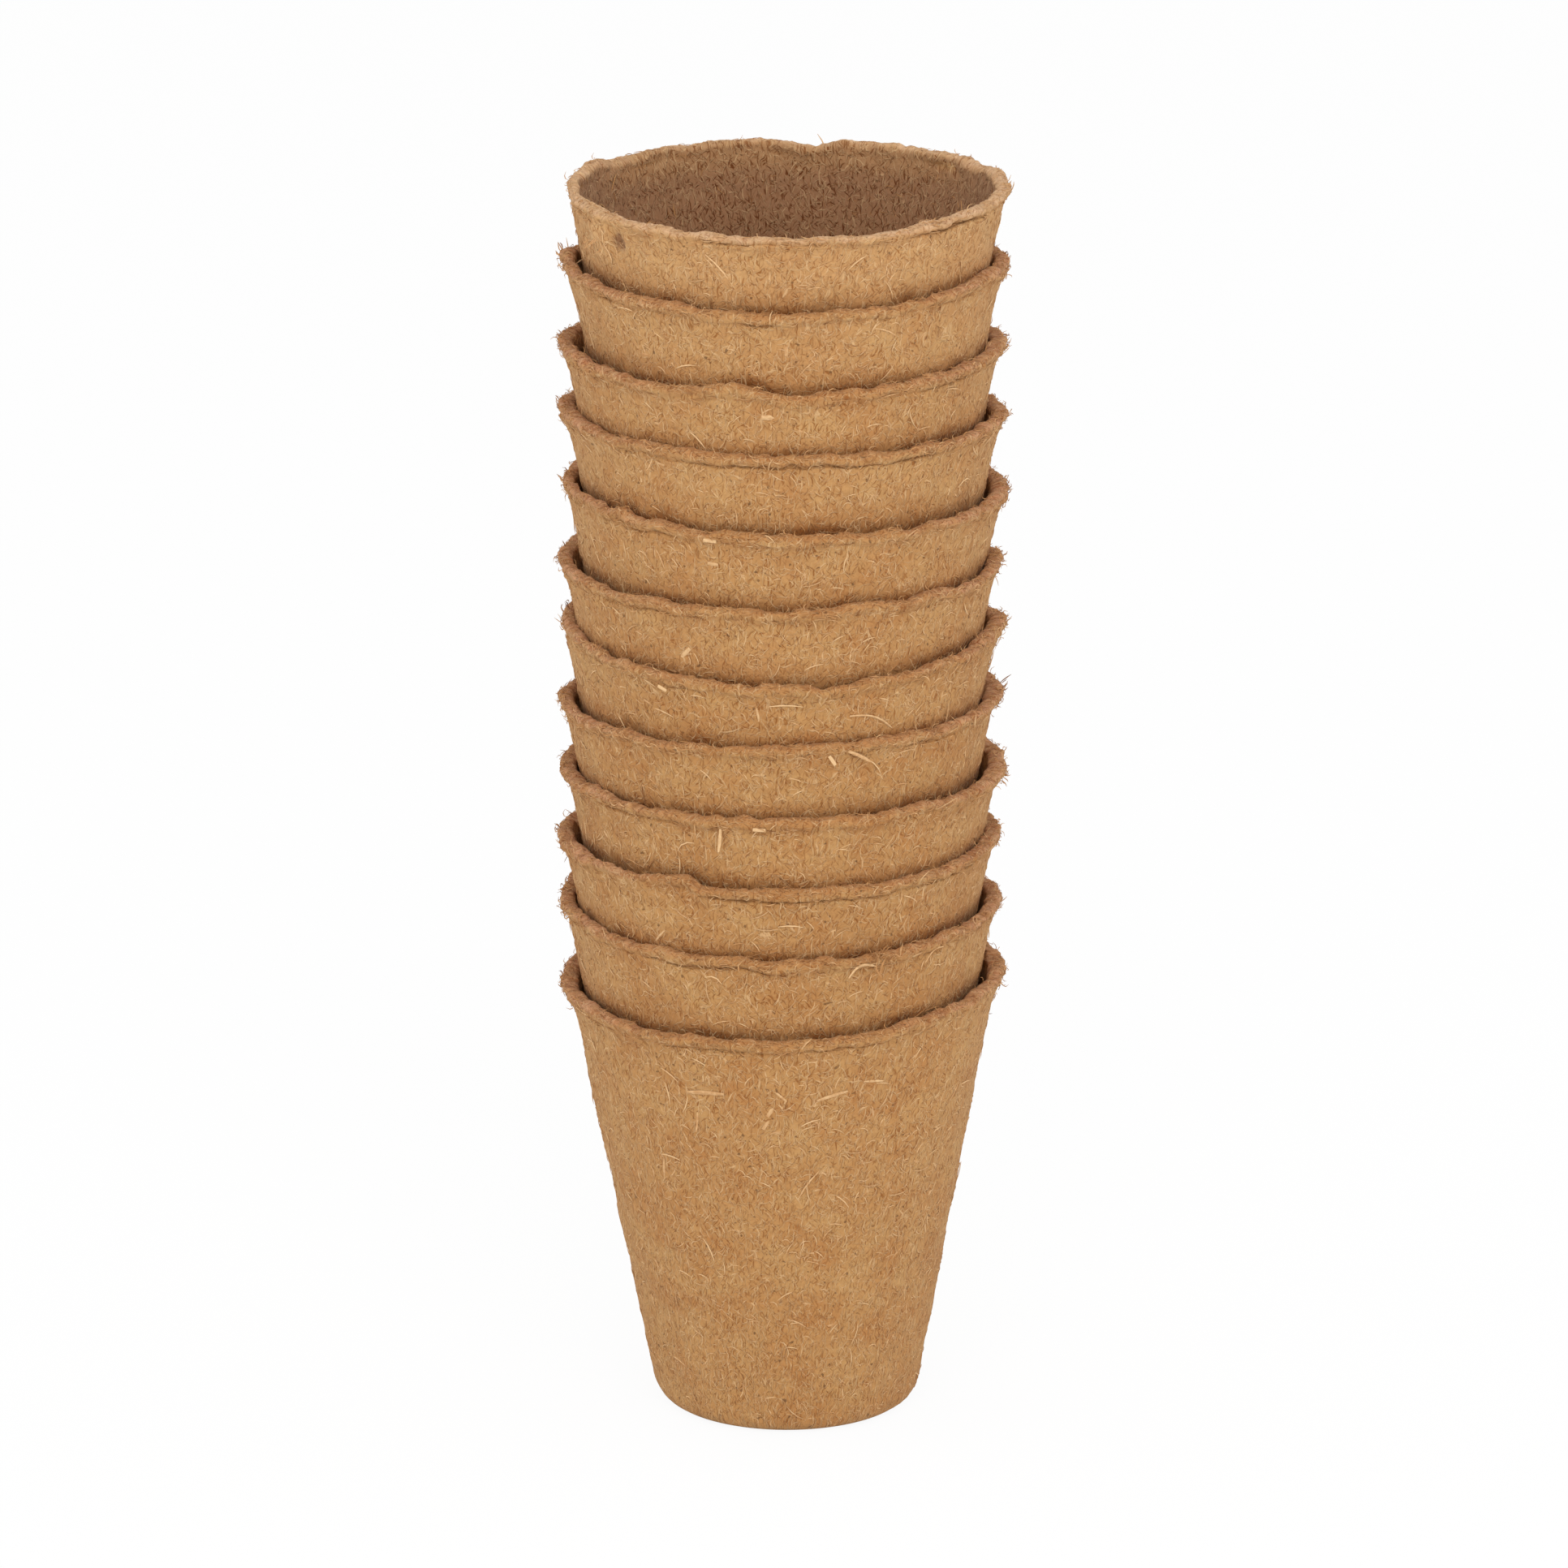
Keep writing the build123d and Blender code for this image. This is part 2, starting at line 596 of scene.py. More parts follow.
@dataclass(frozen=True)
class PressedFibre:
    """The felted wall: peat and wood fibre, tan, flecked and rough."""

    tan: Colour = (0.446, 0.230, 0.083, 1.0)
    rust: Colour = (0.395, 0.170, 0.052, 1.0)
    sand: Colour = (0.500, 0.286, 0.112, 1.0)
    straw: Colour = (0.670, 0.435, 0.225, 1.0)
    bark: Colour = (0.235, 0.105, 0.035, 1.0)
    peat: Colour = (0.120, 0.055, 0.022, 1.0)
    dash: Colour = (0.610, 0.440, 0.290, 1.0)
    # Crown colours chosen by the angle from the camera: the torn crown darker at the front as painted shade, paler at
    # the sides and on the top pot as painted light
    torn_front_shaded: Colour = (0.430, 0.202, 0.074, 1.0)
    torn_side_lit: Colour = (0.560, 0.290, 0.160, 1.0)
    torn_top_lit: Colour = (0.640, 0.405, 0.240, 1.0)
    # Painted light from above: the paler tan of the upper pots, also laid on raised wall marks
    pale_lit_tan: Colour = (0.640, 0.385, 0.178, 1.0)
    # The inside's greyer tint with painted shade
    inside_tint_and_shade: Colour = (0.232, 0.112, 0.062, 1.0)
    # Painted shade: the warmer, darker band where the wall sits in the lip below
    painted_nest_shade: Colour = (0.400, 0.170, 0.055, 1.0)
    # Painted shade: the dark red line where the wall meets the lip of the pot below
    painted_contact_shade: Colour = (0.190, 0.054, 0.008, 1.0)
    roughness: float = 0.92
    specular: float = 0.12
    relief: float = 0.75
    relief_height: float = 0.16 * MM
    sheen: float = 0.10
    fuzz: Colour = (1.0, 0.80, 0.56, 1.0)

    def material(self) -> bpy.types.Material:
        """Wires the felt.

        Returns:
            The material.
        """
        nodes = Nodes(bpy.data.materials.new("pressed_fibre"))
        place = nodes.place()
        bend = nodes.lumps(place, 2.2 * MM, 1.0, 0.5)
        bent = nodes.vector("MULTIPLY_ADD", bend.outputs["Color"], (1.1 * MM,) * 3, place)
        flat = nodes.unrolled(bent, 34.0 * MM, 1.2)

        # Fibres and noise
        light = nodes.most([
            nodes.strokes(flat, 88.0, 3.8 * MM, 0.36 * MM, 0.61, 0.71),
            nodes.strokes(flat, 57.0, 3.4 * MM, 0.34 * MM, 0.62, 0.72),
            nodes.strokes(flat, 121.0, 3.4 * MM, 0.34 * MM, 0.62, 0.72),
            nodes.strokes(flat, 22.0, 3.2 * MM, 0.34 * MM, 0.63, 0.73),
            nodes.strokes(flat, -14.0, 3.2 * MM, 0.34 * MM, 0.63, 0.73),
        ])
        dark = nodes.most([
            nodes.strokes(flat, 86.0, 2.0 * MM, 0.34 * MM, 0.57, 0.72),
            nodes.strokes(flat, 48.0, 1.8 * MM, 0.32 * MM, 0.58, 0.73),
            nodes.strokes(flat, 134.0, 1.8 * MM, 0.32 * MM, 0.58, 0.73),
        ])
        ridges = nodes.noise(nodes.around(place, 40.0 * MM, 0.2), 0.85 * MM, 2.0, 0.6)
        blotch = nodes.noise(place, 8.0 * MM, 2.0)
        cloud = nodes.noise(place, 3.2 * MM, 2.0)
        grain = nodes.noise(bent, 0.7 * MM, 2.0, 0.6)
        specks = nodes.noise(place, 0.8 * MM, 0.0)

        # Ground
        colour = nodes.blend(nodes.spread(blotch, 0.36, 0.66), self.sand, self.rust)
        colour = nodes.blend(nodes.spread(cloud, 0.25, 0.75, 0.25, 0.95), colour, self.tan)
        # Painted light from above makes the upper pots paler; raised wall marks are paler too
        colour = nodes.blend(nodes.math("MULTIPLY", nodes.attribute("paleness_and_top_light"), 0.35), colour, self.pale_lit_tan)

        # Torn crown with painted shade at its front and painted light at its sides, painted shade where the wall sits
        # in and meets the lip below, and the inside's greyer tint with painted shade
        ragged = nodes.spread(cloud, 0.3, 0.65, 0.35, 0.95)
        torn = nodes.attribute("torn")
        tone = nodes.attribute("crown_tone")
        # The torn crown's colour, with painted shade at the front and painted light at the sides and over the top
        # pot's crown
        crown = nodes.blend(nodes.spread(tone, 0.0, 1.0), self.torn_front_shaded, self.torn_side_lit)
        crown = nodes.blend(nodes.spread(tone, 1.0, 2.0), crown, self.torn_top_lit)
        colour = nodes.blend(nodes.math("MULTIPLY", torn, ragged), colour, crown)
        # Painted shade: a warmer, darker band where the wall sits in the lip below
        colour = nodes.blend(nodes.math("MULTIPLY", nodes.attribute("painted_nest_shade"), 0.42), colour, self.painted_nest_shade)
        # Painted shade: a dark red line where the wall meets the lip below, broken up by noise
        contact_shade_breakup = nodes.spread(blotch, 0.36, 0.64, 0.35, 0.9)
        colour = nodes.blend(nodes.math("MULTIPLY", nodes.attribute("painted_contact_shade"), contact_shade_breakup), colour, self.painted_contact_shade)
        # The inside's greyer tint with painted shade, in full on the top pot
        colour = nodes.blend(nodes.math("MULTIPLY", nodes.attribute("inner"), 0.85), colour, self.inside_tint_and_shade)
        worn = nodes.math("MULTIPLY", torn, nodes.spread(tone, 1.0, 2.0, 1.0, 0.35))
        worn = nodes.math("MULTIPLY", worn, nodes.spread(tone, 0.0, 0.7, 0.4, 1.0))
        furrow = nodes.math("MULTIPLY", worn, nodes.spread(ridges, 0.36, 0.58, 0.75, 0.0))
        colour = nodes.shade(furrow, colour, self.dash)

        # Grain, fibres, specks, painted shade inside and painted shade in the creases
        colour = nodes.blend(nodes.spread(grain, 0.30, 0.70, 0.24, 0.0), colour, self.bark)
        patchy = nodes.spread(nodes.noise(place, 5.0 * MM, 2.0), 0.35, 0.65, 0.65, 1.0)
        colour = nodes.shade(nodes.math("MULTIPLY", dark, patchy), colour, self.dash)
        # Painted shade inside: more dark strokes and fewer pale ones
        colour = nodes.shade(nodes.math("MULTIPLY", dark, nodes.attribute("inner")), colour, self.dash)
        shown = nodes.math("MULTIPLY", light, nodes.spread(nodes.attribute("inner"), 0.0, 1.0, 0.55, 0.32))
        colour = nodes.blend(shown, colour, self.straw)
        colour = nodes.blend(nodes.spread(specks, 0.77, 0.83, 0.0, 0.7), colour, self.peat)
        # Painted shade along the creases and in dents, in the bark colour, broken up by noise
        broken = nodes.spread(nodes.noise(bent, 1.8 * MM, 2.0), 0.36, 0.60, 0.15, 1.0)
        crease = nodes.attribute("crease")
        fold = nodes.math("MULTIPLY", nodes.spread(crease, 0.30, 0.95, 0.0, 0.9), broken)
        fold = nodes.math("MAXIMUM", fold, nodes.spread(crease, 0.9, 1.5, 0.0, 0.95))
        colour = nodes.blend(fold, colour, self.bark)

        # Relief
        height = nodes.math("ADD", nodes.math("MULTIPLY", light, 0.8), nodes.math("MULTIPLY", dark, -0.7))
        height = nodes.math("ADD", height, nodes.math("MULTIPLY", grain, 1.4))
        across = nodes.math("MULTIPLY", nodes.math("MULTIPLY", ridges, worn), 4.0)
        height = nodes.math("ADD", height, across)
        bump = nodes.add("ShaderNodeBump")
        bump.inputs["Strength"].default_value = self.relief
        bump.inputs["Distance"].default_value = self.relief_height
        nodes.link(height, bump.inputs["Height"])

        shader = nodes.dull(colour, self.roughness, self.specular)
        nodes.link(bump.outputs["Normal"], shader.inputs["Normal"])
        shader.inputs["Sheen Weight"].default_value = self.sheen
        shader.inputs["Sheen Tint"].default_value = self.fuzz
        return nodes.finish(shader.outputs["BSDF"])


@dataclass(frozen=True)
class LooseFibre:
    """Threads and straw, from dark root hair to pale straw by the tone that each fibre carries."""

    bark: Colour = (0.230, 0.095, 0.032, 1.0)
    tan: Colour = (0.450, 0.226, 0.086, 1.0)
    straw: Colour = (0.660, 0.430, 0.222, 1.0)
    roughness: float = 0.8
    specular: float = 0.2

    def material(self) -> bpy.types.Material:
        """Wires the threads.

        Returns:
            The material.
        """
        nodes = Nodes(bpy.data.materials.new("loose_fibre"))
        tone = nodes.attribute("tone")
        grain = nodes.noise(nodes.place(), 0.7 * MM, 2.0)
        worn = nodes.math("ADD", tone, nodes.spread(grain, 0.3, 0.7, -0.10, 0.10))
        colour = nodes.blend(nodes.spread(worn, 0.0, 0.5), self.bark, self.tan)
        colour = nodes.blend(nodes.spread(worn, 0.5, 1.0), colour, self.straw)
        return nodes.finish(nodes.dull(colour, self.roughness, self.specular).outputs["BSDF"])


@dataclass
class Pot:
    """One pot of the stack: its place, the wave of its lip and the marks that set it apart."""

    number: int
    place: Place
    section: Section
    rises: tuple[float, float, float, float]
    dips: tuple[float, float] = (0.0, 0.0)
    lip_marks: tuple[LipMark, ...] = ()
    wall_marks: tuple[WallMark, ...] = ()
    creases: tuple[Crease, ...] = ()
    hooks: tuple[Hook, ...] = ()
    lean: tuple[float, float] = (0.0, 0.0)
    # Painted light from above, as a paleness of the whole pot
    paleness_and_top_light: float = 0.0
    below: "Pot | None" = None
    segments: int = 240
    merge: float = 0.001 * MM
    outer_row: float = 20.0 * MM
    inner_row: float = 24.0 * MM
    wave_depth: float = 16.0 * MM
    fold_depth: float = 8.0 * MM
    crease_width: float = 0.25 * MM
    dip_angle: float = 110.0
    dip_reach: float = 30.0
    hidden_count: int = 6
    hidden_spans: tuple[tuple[float, float], ...] = ((75.0, 285.0), (-0.6, 0.8), (3.0, 16.0), (3.0, 16.0))
    crown_depth: float = 2.8 * MM
    torn_depth: float = 1.3 * MM
    # Reach of the painted shade band round the height where the pot sits in the lip below
    nest_shade_reach: float = 5.0 * MM
    # Height over, and depth under, the lip below of the painted contact shade
    contact_shade_top: float = 1.2 * MM
    contact_shade_depth: float = 5.0 * MM

    def __post_init__(self) -> None:
        """Takes the pot's seat from its CAD node, and draws the marks on the back of its lip."""
        low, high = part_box(self.node)
        self.axis = Vector(((low.x + high.x) / 2, (low.y + high.y) / 2, 0.0))
        self.base = low.z
        self.shell: bpy.types.Object | None = None
        below = 0.0 if self.number == 1 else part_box(f"pot_{self.number - 1:02d}")[0].z
        self.nest_height = self.section.height - (self.base - below)
        draw = np.random.RandomState(self.number)
        self.view = VIEWS[self.place]
        self.side_dips = tuple(LipMark(side * self.dip_angle, depth, self.dip_reach, self.dip_reach)
                               for side, depth in zip((-1.0, 1.0), self.dips))
        self.hidden_marks = tuple(LipMark(*(draw.uniform(*span) for span in self.hidden_spans))
                                  for _ in range(self.hidden_count))
        tears = ring_noise(np.radians(RING), 14.0, self.number * 5.3)
        nicks = ring_noise(np.radians(RING), 30.0, self.number * 5.3 + 2.0)
        self.ragged = (0.48 * tears + 0.28 * nicks) * MM * self.view.raggedness

    @property
    def node(self) -> str:
        """Name of the CAD node and of the body."""
        return f"pot_{self.number:02d}"

    def stations(self) -> list[tuple[float, float]]:
        """The closed section, finer where the pot is seen.

        Returns:
            Pairs of radius and height.
        """
        section, view = self.section, self.view
        outer = section.outer_profile(view.fine_from, view.row, self.outer_row)
        inner = section.inner_profile(view.fine_to, view.row, self.inner_row)
        return outer + section.lip_profile() + inner

    def build(self) -> bpy.types.Object:
        """Spins the section to a shell, waves and tears its lip, and roughens its faces.

        Returns:
            The shell.
        """
        self.shell = self.spin_section()
        self.shape_lip()
        self.weigh()
        self.refine()
        self.roughen()
        return self.shell

    def spin_section(self) -> bpy.types.Object:
        """Draws the section point by point and spins it about the pot's axis.

        Returns:
            The plain shell.
        """
        stations = [Vector((self.axis.x + r, self.axis.y, self.base + z)) for r, z in self.stations()]
        clear_selection()
        bpy.ops.mesh.primitive_plane_add(size=MM, location=stations[0])
        shell = bpy.context.active_object
        shell.name = f"{self.node}_shell"
        shell.data.name = shell.name
        bpy.ops.object.transform_apply(location=True, rotation=True, scale=True)
        bpy.ops.object.mode_set(mode="EDIT")
        bpy.ops.mesh.select_all(action="SELECT")
        bpy.ops.mesh.merge(type="CENTER")
        for here, there in zip(stations, stations[1:]):
            bpy.ops.mesh.extrude_region_move(TRANSFORM_OT_translate={"value": there - here})
        drawn = bmesh.from_edit_mesh(shell.data)
        ends = [v for v in drawn.verts if len(v.link_edges) == 1]
        bpy.ops.mesh.select_all(action="DESELECT")
        for end in ends:
            end.select_set(True)
        drawn.select_flush_mode()
        bmesh.update_edit_mesh(shell.data)
        bpy.ops.mesh.edge_face_add()
        bpy.ops.mesh.select_all(action="SELECT")
        bpy.ops.mesh.spin(steps=self.segments, angle=FULL_TURN, center=self.axis, axis=(0, 0, 1))
        bpy.ops.mesh.select_all(action="SELECT")
        bpy.ops.mesh.remove_doubles(threshold=self.merge)
        bpy.ops.mesh.normals_make_consistent(inside=False)
        bpy.ops.object.mode_set(mode="OBJECT")
        self.number_in_order(shell.data)
        return shell

    def number_in_order(self, mesh: bpy.types.Mesh) -> None:
        """Numbers points and faces by their place, because the spin numbers them anew in every run.

        Args:
            mesh: The spun shell, all of four-sided faces.
        """
        points, faces = points_of(mesh), corners_of(mesh)
        across, deep = points[:, 0] - self.axis.x, points[:, 1] - self.axis.y
        turns = np.rint(np.arctan2(deep, across) / FULL_TURN * self.segments) % self.segments
        radii = np.rint(np.hypot(across, deep) / self.merge)
        order = np.lexsort((radii, points[:, 2], turns))
        rank = np.empty(len(order), dtype=np.int64)
        rank[order] = np.arange(len(order))
        faces = rank[faces]
        corners = (faces.argmin(axis=1)[:, None] + np.arange(4)) % 4
        faces = np.take_along_axis(faces, corners, axis=1)
        faces = faces[np.lexsort(faces.T[::-1])]
        mesh.clear_geometry()
        mesh.from_pydata(points[order], [], faces.tolist())

    def polar(self) -> tuple[np.ndarray, np.ndarray, np.ndarray, np.ndarray]:
        """Coordinates of the shell's vertices.

        Returns:
            Points, angles from the front in degrees, radii, and heights over the base.
        """
        points = points_of(self.shell.data)
        across = points[:, 0] - self.axis.x
        back = points[:, 1] - self.axis.y
        return points, np.degrees(np.arctan2(across, -back)), np.hypot(across, back), points[:, 2] - self.base

    def edge_rise(self, angles: np.ndarray) -> np.ndarray:
        """Rise of the lip's edge over the plain height.

        Args:
            angles: Angles from the front, in degrees.

        Returns:
            The rise at each angle, in metres.
        """
        right, front, left, back = self.rises
        across = np.sin(np.radians(angles))
        deep = -np.cos(np.radians(angles))
        mean = (right + front + left + back) / 4
        tilt = across * (right - left) / 2 + deep * (back - front) / 2
        saddle = (across**2 - deep**2) * (right + left - front - back) / 4
        rise = (mean + tilt + saddle) * MM
        for mark in self.lip_marks + self.side_dips + self.hidden_marks:
            rise = rise + mark.lift(angles)
        return rise + np.interp(angles, RING, self.ragged)

    def over_lip_below(self, angles: np.ndarray, heights: np.ndarray) -> np.ndarray:
        """Height over the lip of the pot below, far over it where there is none.

        Args:
            angles: Angles from the front, in degrees.
            heights: Heights over the pot's base.

        Returns:
            The height over that lip, in metres.
        """
        if self.below is None:
            return np.ones(len(angles))
        return heights - self.nest_height - self.below.edge_rise(angles)

    def folds(self, angles: np.ndarray, near_top: np.ndarray) -> tuple[np.ndarray, np.ndarray]:
        """Draws how the lip wanders and how it is folded round the pot.

        Args:
            angles: Angles from the front, in degrees.
            near_top: Heights from the plain top of the lip, negative below it.

        Returns:
            Both from -1 to 1 at each point, and 0 below the lip.
        """
        on_lip = near_top > -self.fold_depth
        turned = np.radians(angles[on_lip])
        seed = self.number * 3.7
        wander, fold = np.zeros((2, len(angles)))
        wander[on_lip] = ring_noise(turned, 5.0, seed)
        fold[on_lip] = ring_noise(turned, 2.4, seed + 40.0)
        return wander, fold

    def crease_under_lip(self, angles: np.ndarray, near_top: np.ndarray, wander: np.ndarray,
                         fold: np.ndarray) -> np.ndarray:
        """Depth of the crease that is pressed in under the lip.

        Args:
            angles: Angles from the front, in degrees.
            near_top: Heights from the plain top of the lip, negative below it.
            wander: How the lip wanders.
            fold: How the lip is folded.

        Returns:
            The depth at each point, 1 where the crease is pressed in full.
        """
        crease_at = wander * 0.45 * MM - Crease.drop * MM
        folded = np.clip(0.3 + fold * 1.7, 0.0, 1.0) * smooth_step((np.abs(angles) - 60.0) / 25.0)
        for stretch in self.creases:
            pressed = stretch.press(angles)
            crease_at += (Crease.drop - stretch.drop) * MM * np.minimum(pressed, 1.0)
            folded = np.maximum(folded, pressed * np.clip(0.85 + fold * 0.6, 0.45, 1.0))
        return np.exp(-(((near_top - crease_at) / self.crease_width) ** 2 / np.maximum(folded, 0.6))) * folded

    def shape_lip(self) -> None:
        """Waves the lip as it was trimmed, presses the crease under it, paints shade along the crease, and sets the
        wall's own marks.
        """
        section = self.section
        points, angles, radii, heights = self.polar()
        turned = np.radians(angles)
        near_top = heights - section.height
        outside = (radii > section.cone(heights) - 0.6 * MM) | (heights < section.floor / 2)

        wander, fold = self.folds(angles, near_top)
        crease = self.crease_under_lip(angles, near_top, wander, fold)
        out = wander * 0.35 * MM * smooth_step(1.0 + near_top / self.fold_depth)
        out -= np.where(outside, crease * section.crease_depth, 0.0)
        out += np.where(outside, 0.0, crease * section.crease_depth * 0.4)
        for mark in self.wall_marks:
            pushed = mark.push(angles, heights, section.cone(mark.height * MM))
            out += np.where(outside, pushed, pushed * 0.3)
            # A dent in the wall also gets painted shade through the crease mask
            if mark.depth < 0.0:
                crease = np.maximum(crease, np.where(outside, pushed / (mark.depth * MM), 0.0) * 0.72)
        # Painted shade: a dark line inside the back of the top pot's lip
        if self.place is Place.TOP:
            line = np.exp(-(((near_top + 1.7 * MM - wander * 0.5 * MM) / (0.35 * MM)) ** 2))
            behind = smooth_step((np.abs(angles) - 110.0) / 20.0) * np.clip(0.3 + fold * 1.4, 0.0, 0.8)
            crease = np.maximum(crease, np.where(outside, 0.0, line * behind))
        # The crease mask carries painted shade to the finish
        set_numbers(self.shell.data, "crease", crease)

        rolled = np.clip((radii - section.cone(heights)) / section.wall + 1.0, 0.0, 1.0)
        for hook in self.hooks:
            out += hook.push(angles, near_top) * rolled

        at_rim, at_base = self.lean
        leaned = at_rim * smooth_step((heights - 20.0 * MM) / (62.0 * MM))
        leaned += np.where(outside, at_base * np.clip(1.0 - heights / (60.0 * MM), 0.0, 1.0), 0.0)
        points[:, 0] += leaned * MM
        points[:, 2] += smooth_step(1.0 + near_top / self.wave_depth) * self.edge_rise(angles)
        points[:, 0] += out * np.sin(turned)
        points[:, 1] -= out * np.cos(turned)
        self.shell.data.vertices.foreach_set("co", points.ravel())
        self.shell.data.update()

    def weigh(self) -> None:
        """Marks the crown of the lip and the faces in view, for the roughening and for the finish."""
        section, view = self.section, self.view
        _, angles, radii, heights = self.polar()
        near_top = heights - section.height - self.edge_rise(angles) * smooth_step(
            1.0 + (heights - section.height) / self.wave_depth)
        crown = smooth_step((near_top + self.crown_depth) / (1.6 * MM))
        outside = radii > section.cone(heights) - 0.9 * MM
        wall = smooth_step((heights - np.where(outside, view.rough_from, view.rough_to)) / (4.0 * MM))
        torn = smooth_step((near_top + self.torn_depth) / (1.0 * MM))
        # Tone by the angle from the camera, 0 at the front for painted shade and 1 at the sides for painted light; it
        # also sets the ridges
        crown_tone = np.sin(np.radians(angles)) ** 2
        # The inside's greyer tint with painted shade: faint on the lower pots, in full on the top pot under its crown
        inner = np.where(outside, 0.0, 1.0 - torn) * 0.15
        if self.place is Place.TOP:
            # The top pot's crown takes the palest colour, as painted light
            crown_tone = np.full(len(angles), 2.0)
            back = smooth_step((np.abs(angles) - 105.0) / 30.0)
            torn = np.where(outside, torn, torn * (1.0 - 0.55 * back))
            inner = np.where(outside, 0.0, 1.0 - torn)
            # Less painted shade on the back of the top pot's inside near the rim, where light falls in
            inner *= 1.0 - 0.3 * back * smooth_step((near_top + 7.0 * MM) / (4.0 * MM))
        # Painted shade: a warmer, darker band on the outside round the height where the pot sits in the lip below
        painted_nest_shade = np.where(outside, smooth_step(1.0 - np.abs(heights - self.nest_height) / self.nest_shade_reach), 0.0)
        if self.below is None:
            painted_nest_shade *= 0.0
        # Painted shade: a line on the outside where the wall meets the lip below
        over = self.over_lip_below(angles, heights)
        painted_contact_shade = smooth_step((self.contact_shade_top - over) / (1.1 * MM)) * smooth_step((over + self.contact_shade_depth) / (3.0 * MM))
        painted_contact_shade = np.where(outside, painted_contact_shade, 0.0)

        for name, weights in (("crown", crown), ("wall", wall)):
            group = self.shell.vertex_groups.new(name=name)
            for index in np.nonzero(weights > 0.01)[0].tolist():
                group.add([index], float(weights[index]), "REPLACE")
        # Paleness: painted light from above on the upper pots, and paler raised wall marks
        paleness_and_top_light = np.full(len(angles), self.paleness_and_top_light)
        for mark in self.wall_marks:
            if mark.depth > 0.0:
                paleness_and_top_light += mark.push(angles, heights, section.cone(mark.height * MM)) / (mark.depth * MM) * 1.2
        for name, values in (("torn", torn), ("inner", inner), ("painted_nest_shade", painted_nest_shade), ("painted_contact_shade", painted_contact_shade),
                             ("crown_tone", crown_tone), ("paleness_and_top_light", paleness_and_top_light)):
            set_numbers(self.shell.data, name, values)

    def refine(self) -> None:
        """Rounds the shell off with one subdivision."""
        make_active(self.shell)
        rounding = self.shell.modifiers.new("rounding", "SUBSURF")
        rounding.levels = 1
        rounding.render_levels = 1
        bpy.ops.object.modifier_apply(modifier=rounding.name)

    def roughen(self) -> None:
        """Tears the crown and beds the felt in, layer by layer."""
        layers = (
            ("crown_lumps", "crown", 6.0, 1.1, "RGB_TO_XYZ"),
            ("crown_tears", "crown", 1.3, 0.70, "RGB_TO_XYZ"),
            ("wall_swells", "wall", 11.0, 0.9, "NORMAL"),
            ("wall_felt", "wall", 1.5, 0.30, "NORMAL"),
        )
        make_active(self.shell)
        for name, group, size, strength, direction in layers:
            texture = bpy.data.textures.new(f"{self.node}_{name}", "CLOUDS")
            texture.noise_scale = size * MM
            texture.noise_depth = 2
            texture.cloud_type = "COLOR" if direction == "RGB_TO_XYZ" else "GRAYSCALE"
            press = self.shell.modifiers.new(name, "DISPLACE")
            press.texture = texture
            press.texture_coords = "LOCAL"
            press.direction = direction
            press.space = "LOCAL"
            press.vertex_group = group
            press.strength = strength * MM
            press.mid_level = 0.5
            bpy.ops.object.modifier_apply(modifier=name)
            bpy.data.textures.remove(texture)
        bpy.ops.object.shade_smooth()
        self.shell.vertex_groups.clear()

    def dress(self, finish: bpy.types.Material) -> None:
        """Gives the shell its finish and its place in the frame.

        Args:
            finish: The felt.
        """
        self.shell.data.materials.append(finish)
        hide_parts(self.node)
        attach(self.shell, self.node)
        log.info("%s: %d faces", self.shell.name, len(self.shell.data.polygons))


@dataclass
class Cast:
    """Points and faces of one modelled fibre, ready to be copied."""

    points: np.ndarray
    faces: np.ndarray


@dataclass(frozen=True)
class Specimen:
    """One loose fibre, modelled along X from the origin, bowed to one side and lifted at its middle."""

    kind: FibreKind
    length: float
    width: float
    thickness: float
    bow: float
    lift: float
    root: float
    tip: float
    sides: int = 4
    joints: int = 3

    def centre(self, share: float) -> Vector:
        """Point of the fibre's middle line at a share of its length."""
        swing = math.sin(math.pi * share)
        return Vector((self.length * share, self.bow * self.length * swing, self.lift * self.length * swing))

    def cast(self) -> Cast:
        """Models the fibre and takes its points and faces.

        Returns:
            The fibre, with its object removed again.
        """
        clear_selection()
        bpy.ops.mesh.primitive_circle_add(vertices=self.sides, radius=0.5, fill_type="NGON",
                                          rotation=(0.0, math.pi / 2, 0.0))
        piece = bpy.context.active_object
        bpy.ops.object.transform_apply(location=True, rotation=True, scale=True)
        bpy.ops.object.mode_set(mode="EDIT")
        bpy.ops.mesh.select_all(action="SELECT")
        bpy.ops.transform.resize(value=(1.0, self.width * self.root, self.thickness * self.root),
                                 center_override=(0, 0, 0))
        girth = self.root
        for joint in range(1, self.joints + 1):
            here, there = self.centre((joint - 1) / self.joints), self.centre(joint / self.joints)
            bpy.ops.mesh.extrude_region_move(TRANSFORM_OT_translate={"value": there - here})
            wanted = self.tip if joint == self.joints else 1.0
            grow = wanted / girth
            bpy.ops.transform.resize(value=(1.0, grow, grow), center_override=there)
            girth = wanted
        bpy.ops.mesh.select_all(action="SELECT")
        bpy.ops.mesh.quads_convert_to_tris()
        bpy.ops.mesh.normals_make_consistent(inside=False)
        bpy.ops.object.mode_set(mode="OBJECT")
        mesh = piece.data
        cast = Cast(points_of(mesh), np.array([tuple(face.vertices) for face in mesh.polygons]))
        bpy.data.objects.remove(piece)
        bpy.data.meshes.remove(mesh)
        return cast


@dataclass(frozen=True)
class Cover:
    """How many fibres of a kind lie on one face of a pot, and how pale they are."""

    kind: FibreKind
    side: Side
    count: int
    tones: tuple[float, float]
    sizes: tuple[float, float] = (0.45, 1.05)
    standing: float = 0.0


